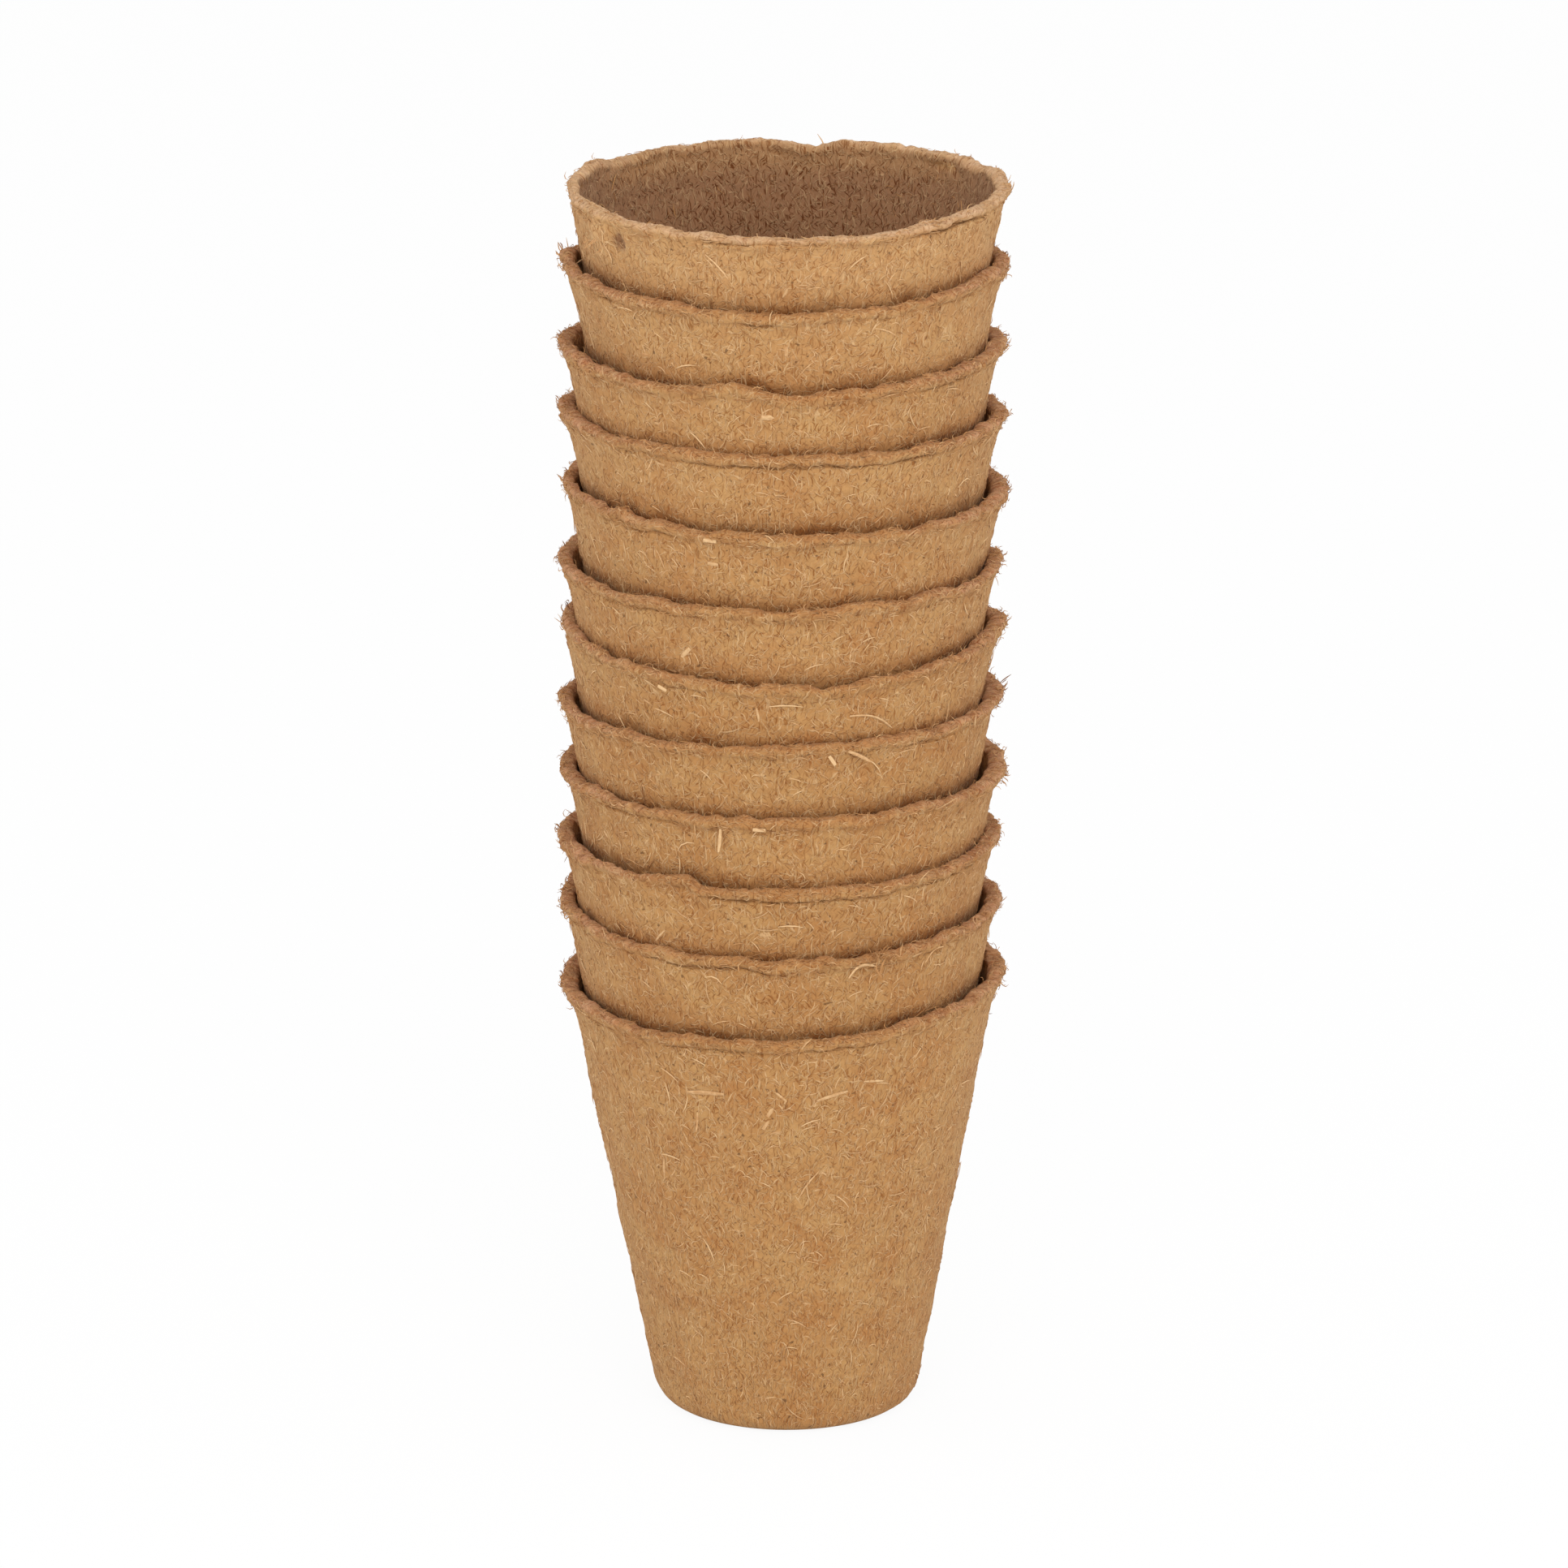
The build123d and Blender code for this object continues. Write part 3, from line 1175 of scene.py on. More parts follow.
@dataclass(frozen=True)
class Thread:
    """A fibre laid on the outer wall, by the angle and height of its middle, its tilt and its length."""

    kind: FibreKind
    angle: float
    height: float
    tilt: float
    length: float
    tone: float
    girth: float = 1.0


@dataclass(frozen=True)
class Whiskers:
    """A tuft of hairs on a lip, at an angle from the front, that lean out and up."""

    angle: float
    spread: float
    count: int
    out: float
    up: float
    length: float
    tone: float
    girth: float = 1.0
    drop: float = 0.0


@dataclass
class FibreCoat:
    """The loose fibres of one pot, laid on its shell and kept as one piece."""

    pot: Pot
    casts: dict[FibreKind, Cast]
    covers: tuple[Cover, ...]
    threads: tuple[Thread, ...] = ()
    whiskers: tuple[Whiskers, ...] = ()
    sunk: float = 0.03 * MM
    lip_from: float = 77.4
    crown_depth: float = 1.3 * MM
    lip_depth: float = 2.4 * MM
    wall_depth: float = 5.0 * MM
    inside_from: float = 12.0 * MM
    upright: float = 0.5
    # Reach and strength of the painted shade on fibres near the lip below
    contact_shade_reach: float = 2.6 * MM
    contact_shade_tone: float = 0.25

    def __post_init__(self) -> None:
        """Starts the pot's own row of random draws."""
        self.random = np.random.RandomState(100 + self.pot.number)
        self.points: list[np.ndarray] = []
        self.faces: list[np.ndarray] = []
        self.tones: list[np.ndarray] = []
        self.used = 0
        self.piece: bpy.types.Object | None = None

    def survey(self) -> None:
        """Reads the shell's faces: corners, middles, normals, areas and places round the pot."""
        mesh = self.pot.shell.data
        count = len(mesh.polygons)
        self.corners = points_of(mesh)[corners_of(mesh)]
        normals = np.empty(count * 3)
        mesh.polygons.foreach_get("normal", normals)
        self.normals = normals.reshape(-1, 3)
        self.areas = np.empty(count)
        mesh.polygons.foreach_get("area", self.areas)
        middle = self.corners.mean(axis=1) - np.array((self.pot.axis.x, self.pot.axis.y, self.pot.base))
        self.angles = np.degrees(np.arctan2(middle[:, 0], -middle[:, 1]))
        self.radii = np.maximum(np.hypot(middle[:, 0], middle[:, 1]), MM)
        self.radial = np.stack((middle[:, 0] / self.radii, middle[:, 1] / self.radii, np.zeros(count)), axis=1)
        self.level = np.cross(UP, self.radial)
        self.heights = middle[:, 2]
        self.facing = (self.normals * self.radial).sum(axis=1)
        self.below_edge = self.pot.section.height + self.pot.edge_rise(self.angles) - self.heights
        # Painted shade: fibres on the outside are drawn darker near the lip below and under it
        over = self.pot.over_lip_below(self.angles, self.heights)
        pale = self.contact_shade_tone + (1.0 - self.contact_shade_tone) * smooth_step(over / self.contact_shade_reach)
        self.pale = np.where(self.facing > 0.0, pale, 1.0)

    def zone(self, side: Side) -> np.ndarray:
        """Chance of each face to carry a fibre.

        Args:
            side: The side of the pot that is covered.

        Returns:
            The area of each face on that side, 0 on the others.
        """
        crown = self.below_edge < self.crown_depth
        outer = self.facing > self.upright
        seen_from = self.pot.view.fibres_from
        faces = {
            Side.OUTSIDE: ~crown & outer & (self.heights > seen_from),
            Side.WALL: (self.below_edge > self.wall_depth) & outer & (self.heights > seen_from + 4.0 * MM),
            Side.INSIDE: ~crown & (self.facing < -self.upright) & (self.heights > self.inside_from),
            Side.CROWN: crown,
            Side.LIP: (self.below_edge < self.lip_depth) & (self.facing > 0.1),
        }
        return self.areas * faces[side]

    def lay(self, kind: FibreKind, places: np.ndarray, along: np.ndarray, normals: np.ndarray,
            scales: np.ndarray, tones: np.ndarray, girths: np.ndarray | None = None) -> None:
        """Copies one kind of fibre to many places.

        Args:
            kind: The fibre.
            places: Point where each copy starts.
            along: Direction that each copy runs in.
            normals: Direction that each copy's back faces.
            scales: Size of each copy.
            tones: Paleness of each copy.
            girths: Thickness of each copy, its size where left out.
        """
        cast = self.casts[kind]
        along = along / np.linalg.norm(along, axis=1, keepdims=True)
        across = np.cross(normals, along)
        across /= np.linalg.norm(across, axis=1, keepdims=True)
        back = np.cross(along, across)
        turns = np.stack((along, across, back), axis=1)
        girths = scales if girths is None else girths
        local = cast.points[None, :, :] * np.stack((scales, girths, girths), axis=1)[:, None, :]
        points = np.einsum("npi,nij->npj", local, turns) + places[:, None, :]
        offsets = self.used + np.arange(len(places)) * len(cast.points)
        self.points.append(points.reshape(-1, 3))
        self.faces.append((cast.faces[None, :, :] + offsets[:, None, None]).reshape(-1, 3))
        self.tones.append(np.repeat(tones, len(cast.points)))
        self.used += len(places) * len(cast.points)

    def scatter(self, cover: Cover) -> None:
        """Strews one cover over its side of the pot.

        Args:
            cover: The cover.
        """
        chance = self.zone(cover.side)
        picks = self.random.choice(len(chance), cover.count, p=chance / chance.sum())
        u, v = self.random.rand(2, cover.count, 1)
        corners = self.corners[picks]
        places = ((1 - u) * (1 - v) * corners[:, 0] + u * (1 - v) * corners[:, 1]
                  + u * v * corners[:, 2] + (1 - u) * v * corners[:, 3])
        normals = self.normals[picks]
        level = self.level[picks]
        rising = np.cross(normals, level)
        turn = self.random.rand(cover.count, 1) * FULL_TURN
        along = np.cos(turn) * level * 0.8 + np.sin(turn) * rising
        along += normals * (cover.standing * self.random.rand(cover.count, 1))
        if cover.side is Side.CROWN:
            either = self.random.choice((-1.0, 1.0), (cover.count, 1))
            slope = self.facing[picks][:, None]
            along = along * 0.4 + self.radial[picks] * np.where(np.abs(slope) > 0.15, -np.sign(slope), either)
            along += normals * (cover.standing * self.random.rand(cover.count, 1) ** 2)
        if cover.side is Side.LIP:
            along = level * self.random.choice((-1.0, 1.0), (cover.count, 1)) + along * 0.35
            along += normals * (cover.standing * self.random.rand(cover.count, 1) ** 2)
        scales = self.random.uniform(*cover.sizes, cover.count)
        # The tones carry the painted shade near the lip below
        tones = self.random.uniform(*cover.tones, cover.count) * self.pale[picks]
        self.lay(cover.kind, places - normals * self.sunk, along, normals, scales, tones, np.sqrt(scales))

    def lay_thread(self, thread: Thread) -> None:
        """Lays one chosen fibre on the wall, or across the front of the lip.

        Args:
            thread: The fibre.
        """
        away = np.abs(turn_from(thread.angle, self.angles)) * 0.6
        nearest = np.argmin(away**2 + ((self.heights / MM) - thread.height) ** 2 + 1e6 * (self.facing < self.upright))
        normal = self.normals[nearest]
        place = self.corners[nearest].mean(axis=0)
        if thread.height > self.lip_from:
            beside = (np.abs(self.angles - self.angles[nearest]) < 3.0) & (self.below_edge < 4.0 * MM)
            normal = self.radial[nearest]
            place = place + normal * ((self.radii[beside].max() - self.radii[nearest]) * 0.9)
        level = self.level[nearest]
        rising = np.cross(normal, level)
        tilt = math.radians(thread.tilt)
        along = math.cos(tilt) * level + math.sin(tilt) * rising
        size = thread.length * MM / self.casts[thread.kind].points[:, 0].max()
        girth = min(size, math.sqrt(size)) * thread.girth
        self.lay(thread.kind, (place - along * thread.length * MM / 2)[None], along[None], normal[None],
                 np.array((size,)), np.array((thread.tone,)), np.array((girth,)))

    def plant(self, tuft: Whiskers) -> None:
        """Plants a tuft on the outer edge of the lip.

        Args:
            tuft: The tuft.
        """
        away = np.abs(turn_from(tuft.angle, self.angles))
        near = np.abs(self.below_edge - (tuft.drop + 0.6) * MM) < 1.2 * MM
        chance = (away < tuft.spread) & near & (self.facing > -0.2)
        picks = self.random.choice(np.nonzero(chance)[0], tuft.count)
        along = self.radial[picks] * tuft.out + UP * tuft.up
        along += self.level[picks] * self.random.uniform(-0.5, 0.5, (tuft.count, 1))
        along += self.random.uniform(-0.3, 0.3, (tuft.count, 3))
        size = tuft.length * MM / self.casts[FibreKind.HAIR].points[:, 0].max()
        scales = size * self.random.uniform(0.5, 1.2, tuft.count)
        tones = np.clip(tuft.tone + self.random.uniform(-0.15, 0.15, tuft.count), 0.0, 1.0)
        self.lay(FibreKind.HAIR, self.corners[picks].mean(axis=1), along, self.normals[picks], scales, tones,
                 np.maximum(np.sqrt(scales), 0.8) * tuft.girth)

    def build(self) -> bpy.types.Object:
        """Lays every fibre and joins them into one mesh.

        Returns:
            The coat.
        """
        self.survey()
        for cover in self.covers:
            self.scatter(cover)
        for thread in self.threads:
            self.lay_thread(thread)
        for tuft in self.whiskers:
            self.plant(tuft)
        points = np.concatenate(self.points)
        points[:, 2] = np.maximum(points[:, 2], self.sunk)
        mesh = bpy.data.meshes.new(f"{self.pot.node}_fibres")
        mesh.from_pydata(points, [], np.concatenate(self.faces).tolist())
        set_numbers(mesh, "tone", np.concatenate(self.tones))
        self.piece = bpy.data.objects.new(mesh.name, mesh)
        bpy.context.scene.collection.objects.link(self.piece)
        return self.piece

    def dress(self, finish: bpy.types.Material) -> None:
        """Gives the coat its finish and lets it ride with its pot.

        Args:
            finish: The finish of the threads.
        """
        self.piece.data.materials.append(finish)
        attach(self.piece, self.pot.node)
        log.info("%s: %d faces", self.piece.name, len(self.piece.data.polygons))


@dataclass
class Studio:
    """A pale floor, even white light and the camera of the photograph."""

    camera_place: tuple[float, float, float] = (0.0002, -1.7441, 0.644)
    camera_dip: float = 16.79
    lens: float = 229.25
    sensor: float = 36.0
    floor_size: float = 12.0
    front_level: float = 1.16
    roof_level: float = 0.5
    flank_level: float = 0.62
    key_power: float = 6.0

    def build(self) -> None:
        """Sets the stage."""
        self.add_floor()
        self.add_world()
        self.add_lights()
        self.add_camera()
        bpy.context.scene.view_settings.view_transform = "Standard"

    def add_floor(self) -> None:
        """A white floor that stays white in the picture and keeps a soft shadow."""
        clear_selection()
        bpy.ops.mesh.primitive_plane_add(size=self.floor_size, location=(0, 0, 0))
        floor = bpy.context.active_object
        floor.name = "studio_floor"
        nodes = Nodes(bpy.data.materials.new("studio_floor"))
        seen = nodes.add("ShaderNodeLightPath")
        bright = nodes.math("MAXIMUM", seen.outputs["Is Camera Ray"], seen.outputs["Is Glossy Ray"])
        bright = nodes.math("MAXIMUM", bright, seen.outputs["Is Transmission Ray"])
        matt = nodes.add("ShaderNodeBsdfDiffuse")
        matt.inputs["Color"].default_value = (0.9, 0.9, 0.9, 1.0)
        glow = nodes.add("ShaderNodeEmission")
        glow.inputs["Color"].default_value = (1.0, 1.0, 1.0, 1.0)
        mixed = nodes.add("ShaderNodeMixShader")
        nodes.link(nodes.math("MULTIPLY", bright, 0.93), mixed.inputs["Fac"])
        nodes.link(matt.outputs["BSDF"], mixed.inputs[1])
        nodes.link(glow.outputs["Emission"], mixed.inputs[2])
        floor.data.materials.append(nodes.finish(mixed.outputs["Shader"]))

    def add_world(self) -> None:
        """An even white tent that is plain white where it is seen."""
        nodes = Nodes(bpy.data.worlds.new("white_tent"))
        parts = nodes.add("ShaderNodeSeparateXYZ")
        nodes.link(nodes.add("ShaderNodeTexCoord").outputs["Generated"], parts.inputs["Vector"])
        level = nodes.add("ShaderNodeMapRange")
        nodes.link(parts.outputs["Z"], level.inputs["Value"])
        level.inputs["To Min"].default_value = self.front_level
        level.inputs["To Max"].default_value = self.roof_level
        flank = nodes.math("POWER", parts.outputs["X"], 2.0)
        shown = nodes.add("ShaderNodeMix")
        nodes.link(nodes.add("ShaderNodeLightPath").outputs["Is Camera Ray"], shown.inputs["Factor"])
        nodes.link(nodes.math("MULTIPLY_ADD", flank, self.flank_level, level.outputs["Result"]), shown.inputs["A"])
        shown.inputs["B"].default_value = 1.0
        tent = nodes.add("ShaderNodeBackground")
        tent.inputs["Color"].default_value = (1.0, 1.0, 1.0, 1.0)
        nodes.link(shown.outputs["Result"], tent.inputs["Strength"])
        bpy.context.scene.world = nodes.finish(tent.outputs["Background"], "ShaderNodeOutputWorld")

    def add_lights(self) -> None:
        """A broad soft light from the front and above."""
        lamp = bpy.data.lights.new("soft_box", "AREA")
        lamp.shape = "RECTANGLE"
        lamp.size = 0.9
        lamp.size_y = 0.7
        lamp.energy = self.key_power
        box = bpy.data.objects.new("soft_box", lamp)
        box.location = (0.06, -0.85, 0.85)
        box.rotation_euler = (Vector((0.0, 0.0, 0.16)) - box.location).to_track_quat("-Z", "Y").to_euler()
        bpy.context.scene.collection.objects.link(box)

    def add_camera(self) -> None:
        """The camera that the photograph was fitted to."""
        view = bpy.data.cameras.new("photo_camera")
        view.lens = self.lens
        view.sensor_width = self.sensor
        view.clip_start = 0.1
        view.clip_end = 50.0
        camera = bpy.data.objects.new("photo_camera", view)
        camera.location = self.camera_place
        camera.rotation_euler = (math.radians(90.0 - self.camera_dip), 0.0, 0.0)
        bpy.context.scene.collection.objects.link(camera)
        bpy.context.scene.camera = camera


VIEWS = {
    Place.BOTTOM: View(fine_from=0.0, fine_to=74.0 * MM, row=1.9 * MM,
                       rough_from=-1.0 * MM, rough_to=79.0 * MM, fibres_from=3.0 * MM),
    Place.MIDDLE: View(fine_from=62.0 * MM, fine_to=74.0 * MM, row=1.5 * MM,
                       rough_from=64.0 * MM, rough_to=79.0 * MM, fibres_from=65.0 * MM),
    Place.TOP: View(fine_from=62.0 * MM, fine_to=20.0 * MM, row=1.7 * MM,
                    rough_from=64.0 * MM, rough_to=4.0 * MM, fibres_from=65.0 * MM, raggedness=0.35),
}

LIP_RISES = (
    (1.6, -1.0, -0.6, 0.0),
    (0.4, -0.5, 0.4, -0.3),
    (0.3, -0.4, 0.3, -0.2),
    (0.0, 0.2, -0.1, -0.1),
    (0.3, 0.2, -0.7, 0.2),
    (0.9, -1.2, 1.1, -0.8),
    (0.1, 0.1, 0.0, -0.2),
    (-0.9, -0.1, 1.0, 0.0),
    (-0.6, 0.3, 0.3, 0.0),
    (0.5, -0.5, 0.3, -0.3),
    (0.8, -0.9, 0.6, -0.5),
    (0.1, -0.6, 0.1, -1.1),
)

DIPS = (
    (0.0, 0.0),
    (0.0, -0.9),
    (-1.9, -0.8),
    (-1.6, 0.0),
    (-1.7, -1.4),
    (-0.8, -1.7),
    (-0.3, -1.4),
    (-1.7, -0.9),
    (-1.1, -1.2),
    (-1.2, -1.2),
    (-1.4, -1.6),
    (0.0, 0.0),
)

LIP_MARKS = {
    1: (LipMark(30.0, 0.5, 4.0, 16.0), LipMark(62.0, 0.5, 4.0, 14.0)),
    2: (LipMark(50.0, 0.6, 4.0, 18.0), LipMark(-10.0, 0.3, 8.0, 5.0)),
    3: (LipMark(-24.0, 1.9, 17.0, 3.4),),
    4: (LipMark(-30.0, 0.3, 12.0, 5.0), LipMark(40.0, 0.4, 6.0, 12.0)),
    5: (LipMark(-43.0, 0.5, 5.0, 9.0), LipMark(37.0, 0.4, 3.0, 8.0)),
    6: (LipMark(12.0, -0.9, 9.0, 14.0), LipMark(42.0, 0.4, 4.0, 10.0)),
    7: (LipMark(19.0, 0.8, 5.0, 22.0), LipMark(41.0, 0.6, 3.0, 16.0)),
    8: (LipMark(-46.0, 0.8, 9.0, 3.0), LipMark(-34.0, 0.8, 8.0, 3.5)),
    9: (LipMark(38.0, 0.4, 4.0, 10.0), LipMark(-36.0, 0.3, 10.0, 6.0)),
    10: (LipMark(-13.0, 1.6, 12.0, 12.0), LipMark(3.0, -0.7, 7.0, 14.0)),
    11: (LipMark(-34.0, 0.5, 12.0, 6.0), LipMark(12.0, 0.5, 6.0, 10.0)),
    12: (LipMark(173.0, -1.0, 10.0, 8.0), LipMark(50.0, 0.5, 6.0, 14.0), LipMark(-132.0, -0.8, 14.0, 14.0),
         LipMark(-167.0, 0.35, 10.0, 10.0), LipMark(114.0, -0.7, 10.0, 14.0)),
}

WALL_MARKS = {
    11: (WallMark(-88.0, 70.0, 16.0, 5.0, -0.4),),
    12: (WallMark(-51.3, 77.0, 1.6, 1.9, -1.2), WallMark(-58.5, 76.2, 3.2, 4.0, 1.3, 3.3)),
}

HOOKS = (
    (Hook(84.0, 26.0, 5.0, 0.55), Hook(-84.0, 26.0, 3.6, 0.45)),
    (Hook(82.0, 26.0, 3.8, 0.05), Hook(-84.0, 26.0, 2.8, 0.10)),
    (Hook(84.0, 26.0, 2.8, 0.40), Hook(-80.0, 24.0, 4.4, 0.20)),
    (Hook(85.0, 28.0, 3.0, 0.65), Hook(-85.0, 26.0, 2.8, 0.35)),
    (Hook(88.0, 22.0, 2.6, 0.65), Hook(-84.0, 26.0, 3.2, -0.30)),
    (Hook(82.0, 24.0, 5.2, 0.40), Hook(-86.0, 22.0, 2.8, -0.60)),
    (Hook(82.0, 24.0, 4.0, 0.00), Hook(-84.0, 26.0, 3.4, 0.00)),
    (Hook(85.0, 26.0, 3.8, 0.30), Hook(-85.0, 24.0, 2.8, -0.40)),
    (Hook(84.0, 28.0, 3.6, 0.30), Hook(-84.0, 26.0, 3.4, 0.35)),
    (Hook(84.0, 26.0, 3.2, 0.25), Hook(-85.0, 26.0, 3.2, 0.05)),
    (Hook(86.0, 26.0, 2.8, -0.05), Hook(-85.0, 26.0, 2.8, -0.10)),
    (Hook(82.0, 26.0, 2.8, 0.10), Hook(-90.0, 24.0, 3.0, -0.70)),
)

CREASES = {
    1: (Crease(-38.0, 30.0, 0.8),),
    2: (Crease(-50.0, 0.0), Crease(40.0, 56.0, 0.6)),
    3: (Crease(-22.0, 66.0), Crease(-58.0, -46.0, 0.5)),
    4: (Crease(-56.0, -29.0), Crease(22.0, 48.0, 0.4)),
    5: (Crease(-48.0, -36.0, 0.8), Crease(18.0, 55.0, 0.8)),
    6: (Crease(-37.0, -20.0, 0.5), Crease(30.0, 48.0, 0.4)),
    7: (Crease(-55.0, -24.0, 0.8),),
    8: (Crease(-56.0, -27.0, 0.7), Crease(34.0, 60.0, 0.4)),
    9: (Crease(-48.0, 44.0),),
    10: (Crease(26.0, 61.0), Crease(-50.0, -38.0, 0.4)),
    11: (Crease(-60.0, -27.0), Crease(-12.0, -1.0), Crease(18.0, 61.0, 0.7)),
    12: (Crease(-26.0, 12.0, 1.2, 1.35), Crease(33.0, 76.0, 1.8, 1.6)),
}

# Painted light from above: how much paler each upper pot is drawn
PAINTED_TOP_LIGHT = {7: 0.2, 8: 0.2, 9: 0.3, 10: 0.3, 11: 0.5, 12: 1.0}

LEANS = {1: (0.0, 0.75), 4: (0.3, 0.0), 6: (0.45, 0.0), 8: (0.35, 0.0), 12: (0.7, 0.0)}

SPECIMENS = (
    Specimen(FibreKind.HAIR, 2.6 * MM, 0.21 * MM, 0.16 * MM, 0.10, 0.035, 0.5, 0.35, sides=3),
    Specimen(FibreKind.CURL, 3.2 * MM, 0.24 * MM, 0.17 * MM, 0.24, 0.045, 0.5, 0.4, sides=3),
    Specimen(FibreKind.STUB, 0.8 * MM, 0.12 * MM, 0.10 * MM, 0.0, 0.0, 0.7, 0.4, sides=3, joints=1),
    Specimen(FibreKind.ARC, 5.0 * MM, 0.34 * MM, 0.18 * MM, 0.22, 0.03, 0.8, 0.35, joints=9),
    Specimen(FibreKind.STRAW, 5.0 * MM, 0.58 * MM, 0.16 * MM, 0.02, 0.008, 0.7, 0.55),
    Specimen(FibreKind.FLAKE, 1.6 * MM, 0.55 * MM, 0.14 * MM, 0.01, 0.01, 0.9, 0.9),
)


def wall_covers(hairs: int, roots: int, curls: int, long_hairs: int, flakes: int) -> tuple[Cover, ...]:
    """Fibres strewn over the outside of a pot.

    Args:
        hairs: Number of pale hairs.
        roots: Number of short dark hairs.
        curls: Number of curls.
        long_hairs: Number of long pale hairs.
        flakes: Number of flakes.

    Returns:
        The covers, in the order that they are laid in.
    """
    return (
        Cover(FibreKind.HAIR, Side.OUTSIDE, hairs, (0.60, 0.90), (0.4, 1.1)),
        Cover(FibreKind.HAIR, Side.OUTSIDE, roots, (0.10, 0.38), (0.25, 0.6)),
        Cover(FibreKind.CURL, Side.OUTSIDE, curls, (0.55, 0.92), (0.3, 0.75)),
        Cover(FibreKind.HAIR, Side.OUTSIDE, long_hairs, (0.70, 0.95), (1.1, 1.9)),
        Cover(FibreKind.FLAKE, Side.OUTSIDE, flakes, (0.55, 0.80)),
    )


LIP_COVERS = (
    Cover(FibreKind.STUB, Side.CROWN, 1000, (0.25, 0.65), (0.5, 1.3), 0.3),
    Cover(FibreKind.CURL, Side.CROWN, 120, (0.30, 0.80), (0.25, 0.50), 1.4),
    Cover(FibreKind.HAIR, Side.LIP, 300, (0.15, 0.60), (0.4, 0.9), 0.12),
    Cover(FibreKind.CURL, Side.LIP, 180, (0.30, 0.75), (0.4, 0.8), 0.2),
    Cover(FibreKind.CURL, Side.LIP, 130, (0.35, 0.85), (0.3, 0.6), 1.6),
)

COVERS = {
    Place.BOTTOM: (
        *wall_covers(1700, 800, 1300, 110, 60),
        Cover(FibreKind.STRAW, Side.WALL, 5, (0.65, 0.75), (0.4, 0.8)),
        *LIP_COVERS,
    ),
    Place.MIDDLE: (
        *wall_covers(560, 280, 460, 40, 22),
        *LIP_COVERS,
    ),
    Place.TOP: (
        *wall_covers(620, 300, 480, 40, 24),
        Cover(FibreKind.HAIR, Side.INSIDE, 900, (0.0, 0.15), (0.3, 0.8)),
        Cover(FibreKind.HAIR, Side.INSIDE, 320, (0.20, 0.36), (0.3, 0.9)),
        Cover(FibreKind.HAIR, Side.INSIDE, 40, (0.40, 0.55), (0.8, 1.6)),
        Cover(FibreKind.STUB, Side.CROWN, 600, (0.45, 0.80), (0.5, 1.3), 0.15),
        Cover(FibreKind.CURL, Side.CROWN, 160, (0.35, 0.80), (0.15, 0.40), 0.2),
        Cover(FibreKind.HAIR, Side.LIP, 280, (0.35, 0.80), (0.5, 1.0), 0.1),
        Cover(FibreKind.CURL, Side.LIP, 60, (0.45, 0.85), (0.3, 0.6), 1.2),
    ),
}

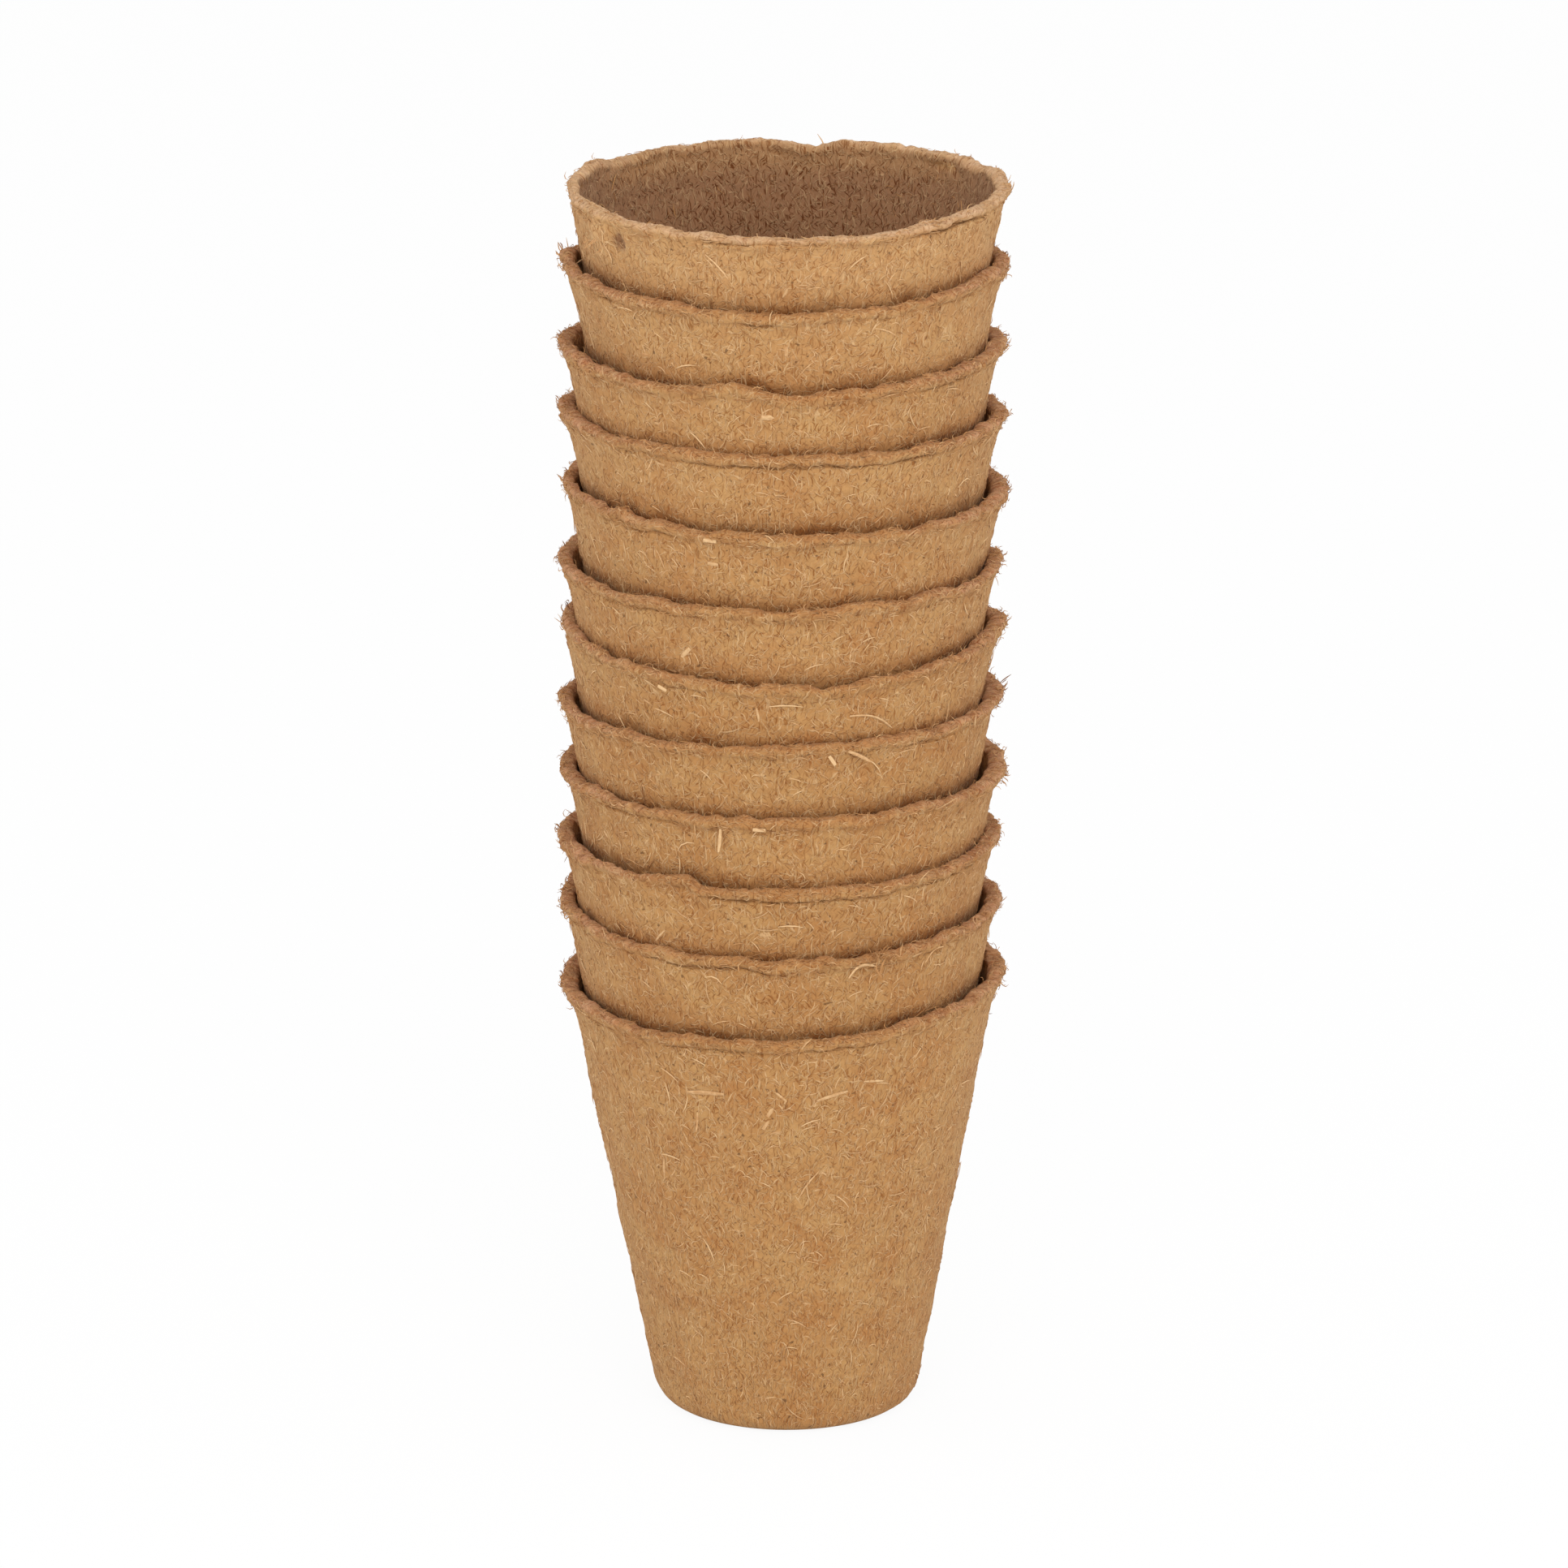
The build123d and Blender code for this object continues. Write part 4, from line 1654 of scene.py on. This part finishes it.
THREADS = {
    1: (
        Thread(FibreKind.STRAW, -22.2, 69.7, 4.0, 7.2, 0.72, 1.2),
        Thread(FibreKind.HAIR, -28.8, 67.3, -108.0, 3.8, 0.95),
        Thread(FibreKind.STRAW, 13.8, 69.9, 15.0, 5.9, 0.76),
        Thread(FibreKind.STRAW, 26.0, 71.6, -6.0, 4.0, 0.85),
        Thread(FibreKind.HAIR, 29.0, 71.0, -11.0, 3.4, 0.8),
        Thread(FibreKind.FLAKE, -3.6, 66.8, 60.0, 2.6, 0.72),
        Thread(FibreKind.FLAKE, -5.0, 63.8, 58.0, 2.0, 0.7),
        Thread(FibreKind.HAIR, -22.9, 75.8, -32.0, 3.4, 1.0),
        Thread(FibreKind.HAIR, 8.1, 51.6, 58.0, 7.0, 0.75),
        Thread(FibreKind.HAIR, 18.3, 48.3, -44.0, 4.4, 0.9),
        Thread(FibreKind.HAIR, 10.8, 40.4, -75.0, 2.4, 1.0),
        Thread(FibreKind.HAIR, 6.0, 39.8, -99.0, 3.4, 0.9),
        Thread(FibreKind.FLAKE, 22.4, 63.4, 20.0, 0.8, 0.0),
    ),
    2: (
        Thread(FibreKind.CURL, -17.9, 77.5, -17.0, 3.4, 0.95),
        Thread(FibreKind.ARC, 21.4, 78.9, 17.0, 5.6, 0.88, 1.2),
        Thread(FibreKind.ARC, 26.3, 79.8, 96.0, 4.6, 0.40, 1.0),
        Thread(FibreKind.HAIR, 27.2, 79.6, 70.0, 3.6, 0.4, 1.6),
        Thread(FibreKind.HAIR, -18.2, 81.0, 70.0, 2.2, 0.7, 1.5),
        Thread(FibreKind.HAIR, -19.2, 81.0, 110.0, 2.2, 0.7, 1.5),
        Thread(FibreKind.CURL, -9.0, 80.5, 95.0, 3.0, 0.6, 1.6),
        Thread(FibreKind.ARC, 44.0, 79.6, 24.0, 5.0, 0.75, 0.8),
    ),
    3: (
        Thread(FibreKind.HAIR, 3.7, 74.4, -3.0, 4.7, 0.95),
        Thread(FibreKind.STRAW, -34.9, 70.4, 48.0, 3.2, 0.85),
        Thread(FibreKind.HAIR, -25.2, 74.6, -57.0, 2.0, 1.0),
        Thread(FibreKind.HAIR, 9.0, 74.6, -55.0, 2.7, 0.9),
    ),
    4: (
        Thread(FibreKind.STRAW, -15.7, 78.2, -95.0, 4.4, 0.9, 1.1),
        Thread(FibreKind.CURL, -26.3, 75.4, 29.0, 4.6, 0.9),
        Thread(FibreKind.FLAKE, -5.4, 80.6, -2.0, 2.3, 0.9),
        Thread(FibreKind.HAIR, -14.5, 77.0, 60.0, 2.0, 0.2),
    ),
    5: (
        Thread(FibreKind.FLAKE, 14.0, 79.6, -57.0, 2.1, 1.0),
        Thread(FibreKind.STRAW, 21.4, 80.0, -29.0, 5.0, 0.75),
        Thread(FibreKind.HAIR, 26.5, 77.1, -50.0, 4.8, 0.95),
        Thread(FibreKind.HAIR, -20.2, 75.8, -45.0, 2.8, 1.0),
        Thread(FibreKind.HAIR, 60.6, 81.6, 77.0, 2.4, 1.0),
        Thread(FibreKind.HAIR, 37.0, 81.4, 85.0, 2.2, 0.6),
    ),
    6: (
        Thread(FibreKind.STRAW, -5.8, 74.8, -82.0, 2.8, 0.8, 1.2),
        Thread(FibreKind.HAIR, 2.0, 76.9, -1.0, 6.0, 0.95),
        Thread(FibreKind.ARC, 25.7, 72.4, -22.0, 9.5, 0.8, 0.8),
        Thread(FibreKind.FLAKE, -31.4, 78.9, -21.0, 1.9, 1.0),
    ),
    7: (Thread(FibreKind.FLAKE, -26.8, 73.0, 46.0, 2.6, 0.9),),
    8: (
        Thread(FibreKind.FLAKE, -18.7, 80.6, -2.0, 2.4, 0.9),
        Thread(FibreKind.FLAKE, -18.3, 75.9, -6.0, 2.0, 0.8),
        Thread(FibreKind.HAIR, -3.2, 81.6, -40.0, 2.4, 1.0),
    ),
    9: (
        Thread(FibreKind.HAIR, -3.4, 81.2, 70.0, 2.2, 1.0),
        Thread(FibreKind.HAIR, -4.4, 81.2, 115.0, 1.8, 0.9),
        Thread(FibreKind.CURL, 59.5, 72.2, 7.0, 4.3, 0.9),
    ),
    10: (Thread(FibreKind.FLAKE, -3.5, 76.8, 1.0, 2.7, 0.8, 1.3),),
    11: (
        Thread(FibreKind.FLAKE, 0.0, 74.0, -90.0, 1.9, 0.7),
        Thread(FibreKind.HAIR, -4.1, 81.4, 80.0, 2.4, 1.0),
    ),
    12: (
        Thread(FibreKind.HAIR, -17.6, 75.3, -50.0, 7.2, 0.85),
        Thread(FibreKind.HAIR, 19.8, 76.0, 37.0, 4.7, 0.85),
        Thread(FibreKind.CURL, -55.6, 73.9, -84.0, 4.6, 0.85),
        Thread(FibreKind.CURL, -53.0, 74.5, -100.0, 3.4, 0.75),
    ),
}

WHISKERS = {
    1: (Whiskers(-97.0, 2.0, 2, 1.0, 0.0, 1.6, 0.05, drop=13.0),
        Whiskers(97.0, 2.0, 2, 1.0, -0.5, 1.6, 0.05, drop=10.0),
        Whiskers(-88.0, 8.0, 7, 0.7, 0.5, 1.1, 0.35, 1.5)),
    2: (Whiskers(26.0, 3.0, 16, 0.6, 0.8, 2.2, 0.25, 1.3), Whiskers(45.0, 5.0, 12, 0.7, 0.5, 1.8, 0.40, 1.2),
        Whiskers(-88.0, 8.0, 6, 0.8, 0.5, 1.0, 0.4, 1.5)),
    3: (Whiskers(-92.0, 3.0, 3, 0.7, -0.7, 1.4, 0.0, drop=5.0), Whiskers(-88.0, 6.0, 6, 0.7, 0.6, 1.1, 0.4, 1.5)),
    4: (Whiskers(86.0, 7.0, 7, 0.9, 0.2, 1.1, 0.4, 1.5), Whiskers(80.0, 3.0, 3, 0.8, -0.8, 1.6, 0.5, 1.3, drop=2.0)),
    5: (Whiskers(94.0, 2.5, 5, 0.8, 0.8, 2.2, 0.2, 1.4), Whiskers(-86.0, 7.0, 6, 0.7, 0.5, 1.0, 0.4, 1.5)),
    6: (Whiskers(-96.0, 3.0, 4, 0.4, 1.0, 1.6, 0.1, 1.6), Whiskers(-99.0, 2.0, 2, 0.2, 1.0, 1.3, 0.0, 1.4)),
    7: (Whiskers(-96.0, 2.5, 3, 0.5, 0.9, 1.2, 0.1, 1.6), Whiskers(84.0, 7.0, 6, 0.8, 0.3, 1.0, 0.4, 1.5)),
    8: (Whiskers(-92.0, 4.0, 6, 0.6, 0.8, 1.4, 0.4, 1.5), Whiskers(90.0, 7.0, 8, 0.7, 0.6, 1.1, 0.45, 1.5)),
    9: (Whiskers(-90.0, 4.0, 7, 0.6, 0.8, 1.2, 0.35, 1.5), Whiskers(86.0, 7.0, 6, 0.8, 0.2, 1.0, 0.4, 1.5)),
    10: (Whiskers(96.0, 1.0, 2, 1.0, 0.1, 2.6, 0.05, 1.7), Whiskers(-90.0, 7.0, 7, 0.7, 0.7, 1.1, 0.45, 1.5)),
    11: (Whiskers(-94.0, 4.0, 5, 0.5, 1.0, 1.7, 0.55, 1.6), Whiskers(94.0, 4.0, 5, 0.5, 0.9, 1.3, 0.2, 1.9)),
    12: (Whiskers(-92.0, 8.0, 4, 0.8, -0.2, 0.9, 0.6), Whiskers(-62.0, 6.0, 10, 0.6, -0.8, 2.2, 0.7, drop=5.0)),
}


def place_of(number: int) -> Place:
    """Finds where a pot sits in the stack.

    Args:
        number: Its number, from 1 at the bottom.

    Returns:
        The place.
    """
    if number == 1:
        return Place.BOTTOM
    return Place.TOP if number == len(LIP_RISES) else Place.MIDDLE


def main() -> None:
    """Builds the stack pot by pot, then the studio."""
    logging.basicConfig(level=logging.INFO, format="%(name)s: %(message)s")
    felt = PressedFibre().material()
    thread = LooseFibre().material()
    casts = {specimen.kind: specimen.cast() for specimen in SPECIMENS}
    pot: Pot | None = None
    for number, rises in enumerate(LIP_RISES, start=1):
        pot = Pot(number, place_of(number), Section(), rises, DIPS[number - 1], LIP_MARKS[number],
                  WALL_MARKS.get(number, ()), CREASES[number], HOOKS[number - 1],
                  LEANS.get(number, (0.0, 0.0)), PAINTED_TOP_LIGHT.get(number, 0.0), pot)
        pot.build()
        coat = FibreCoat(pot, casts, COVERS[pot.place], THREADS[number], WHISKERS[number])
        coat.build()
        pot.dress(felt)
        coat.dress(thread)
    Studio().build()


if __name__ == "__main__":
    main()
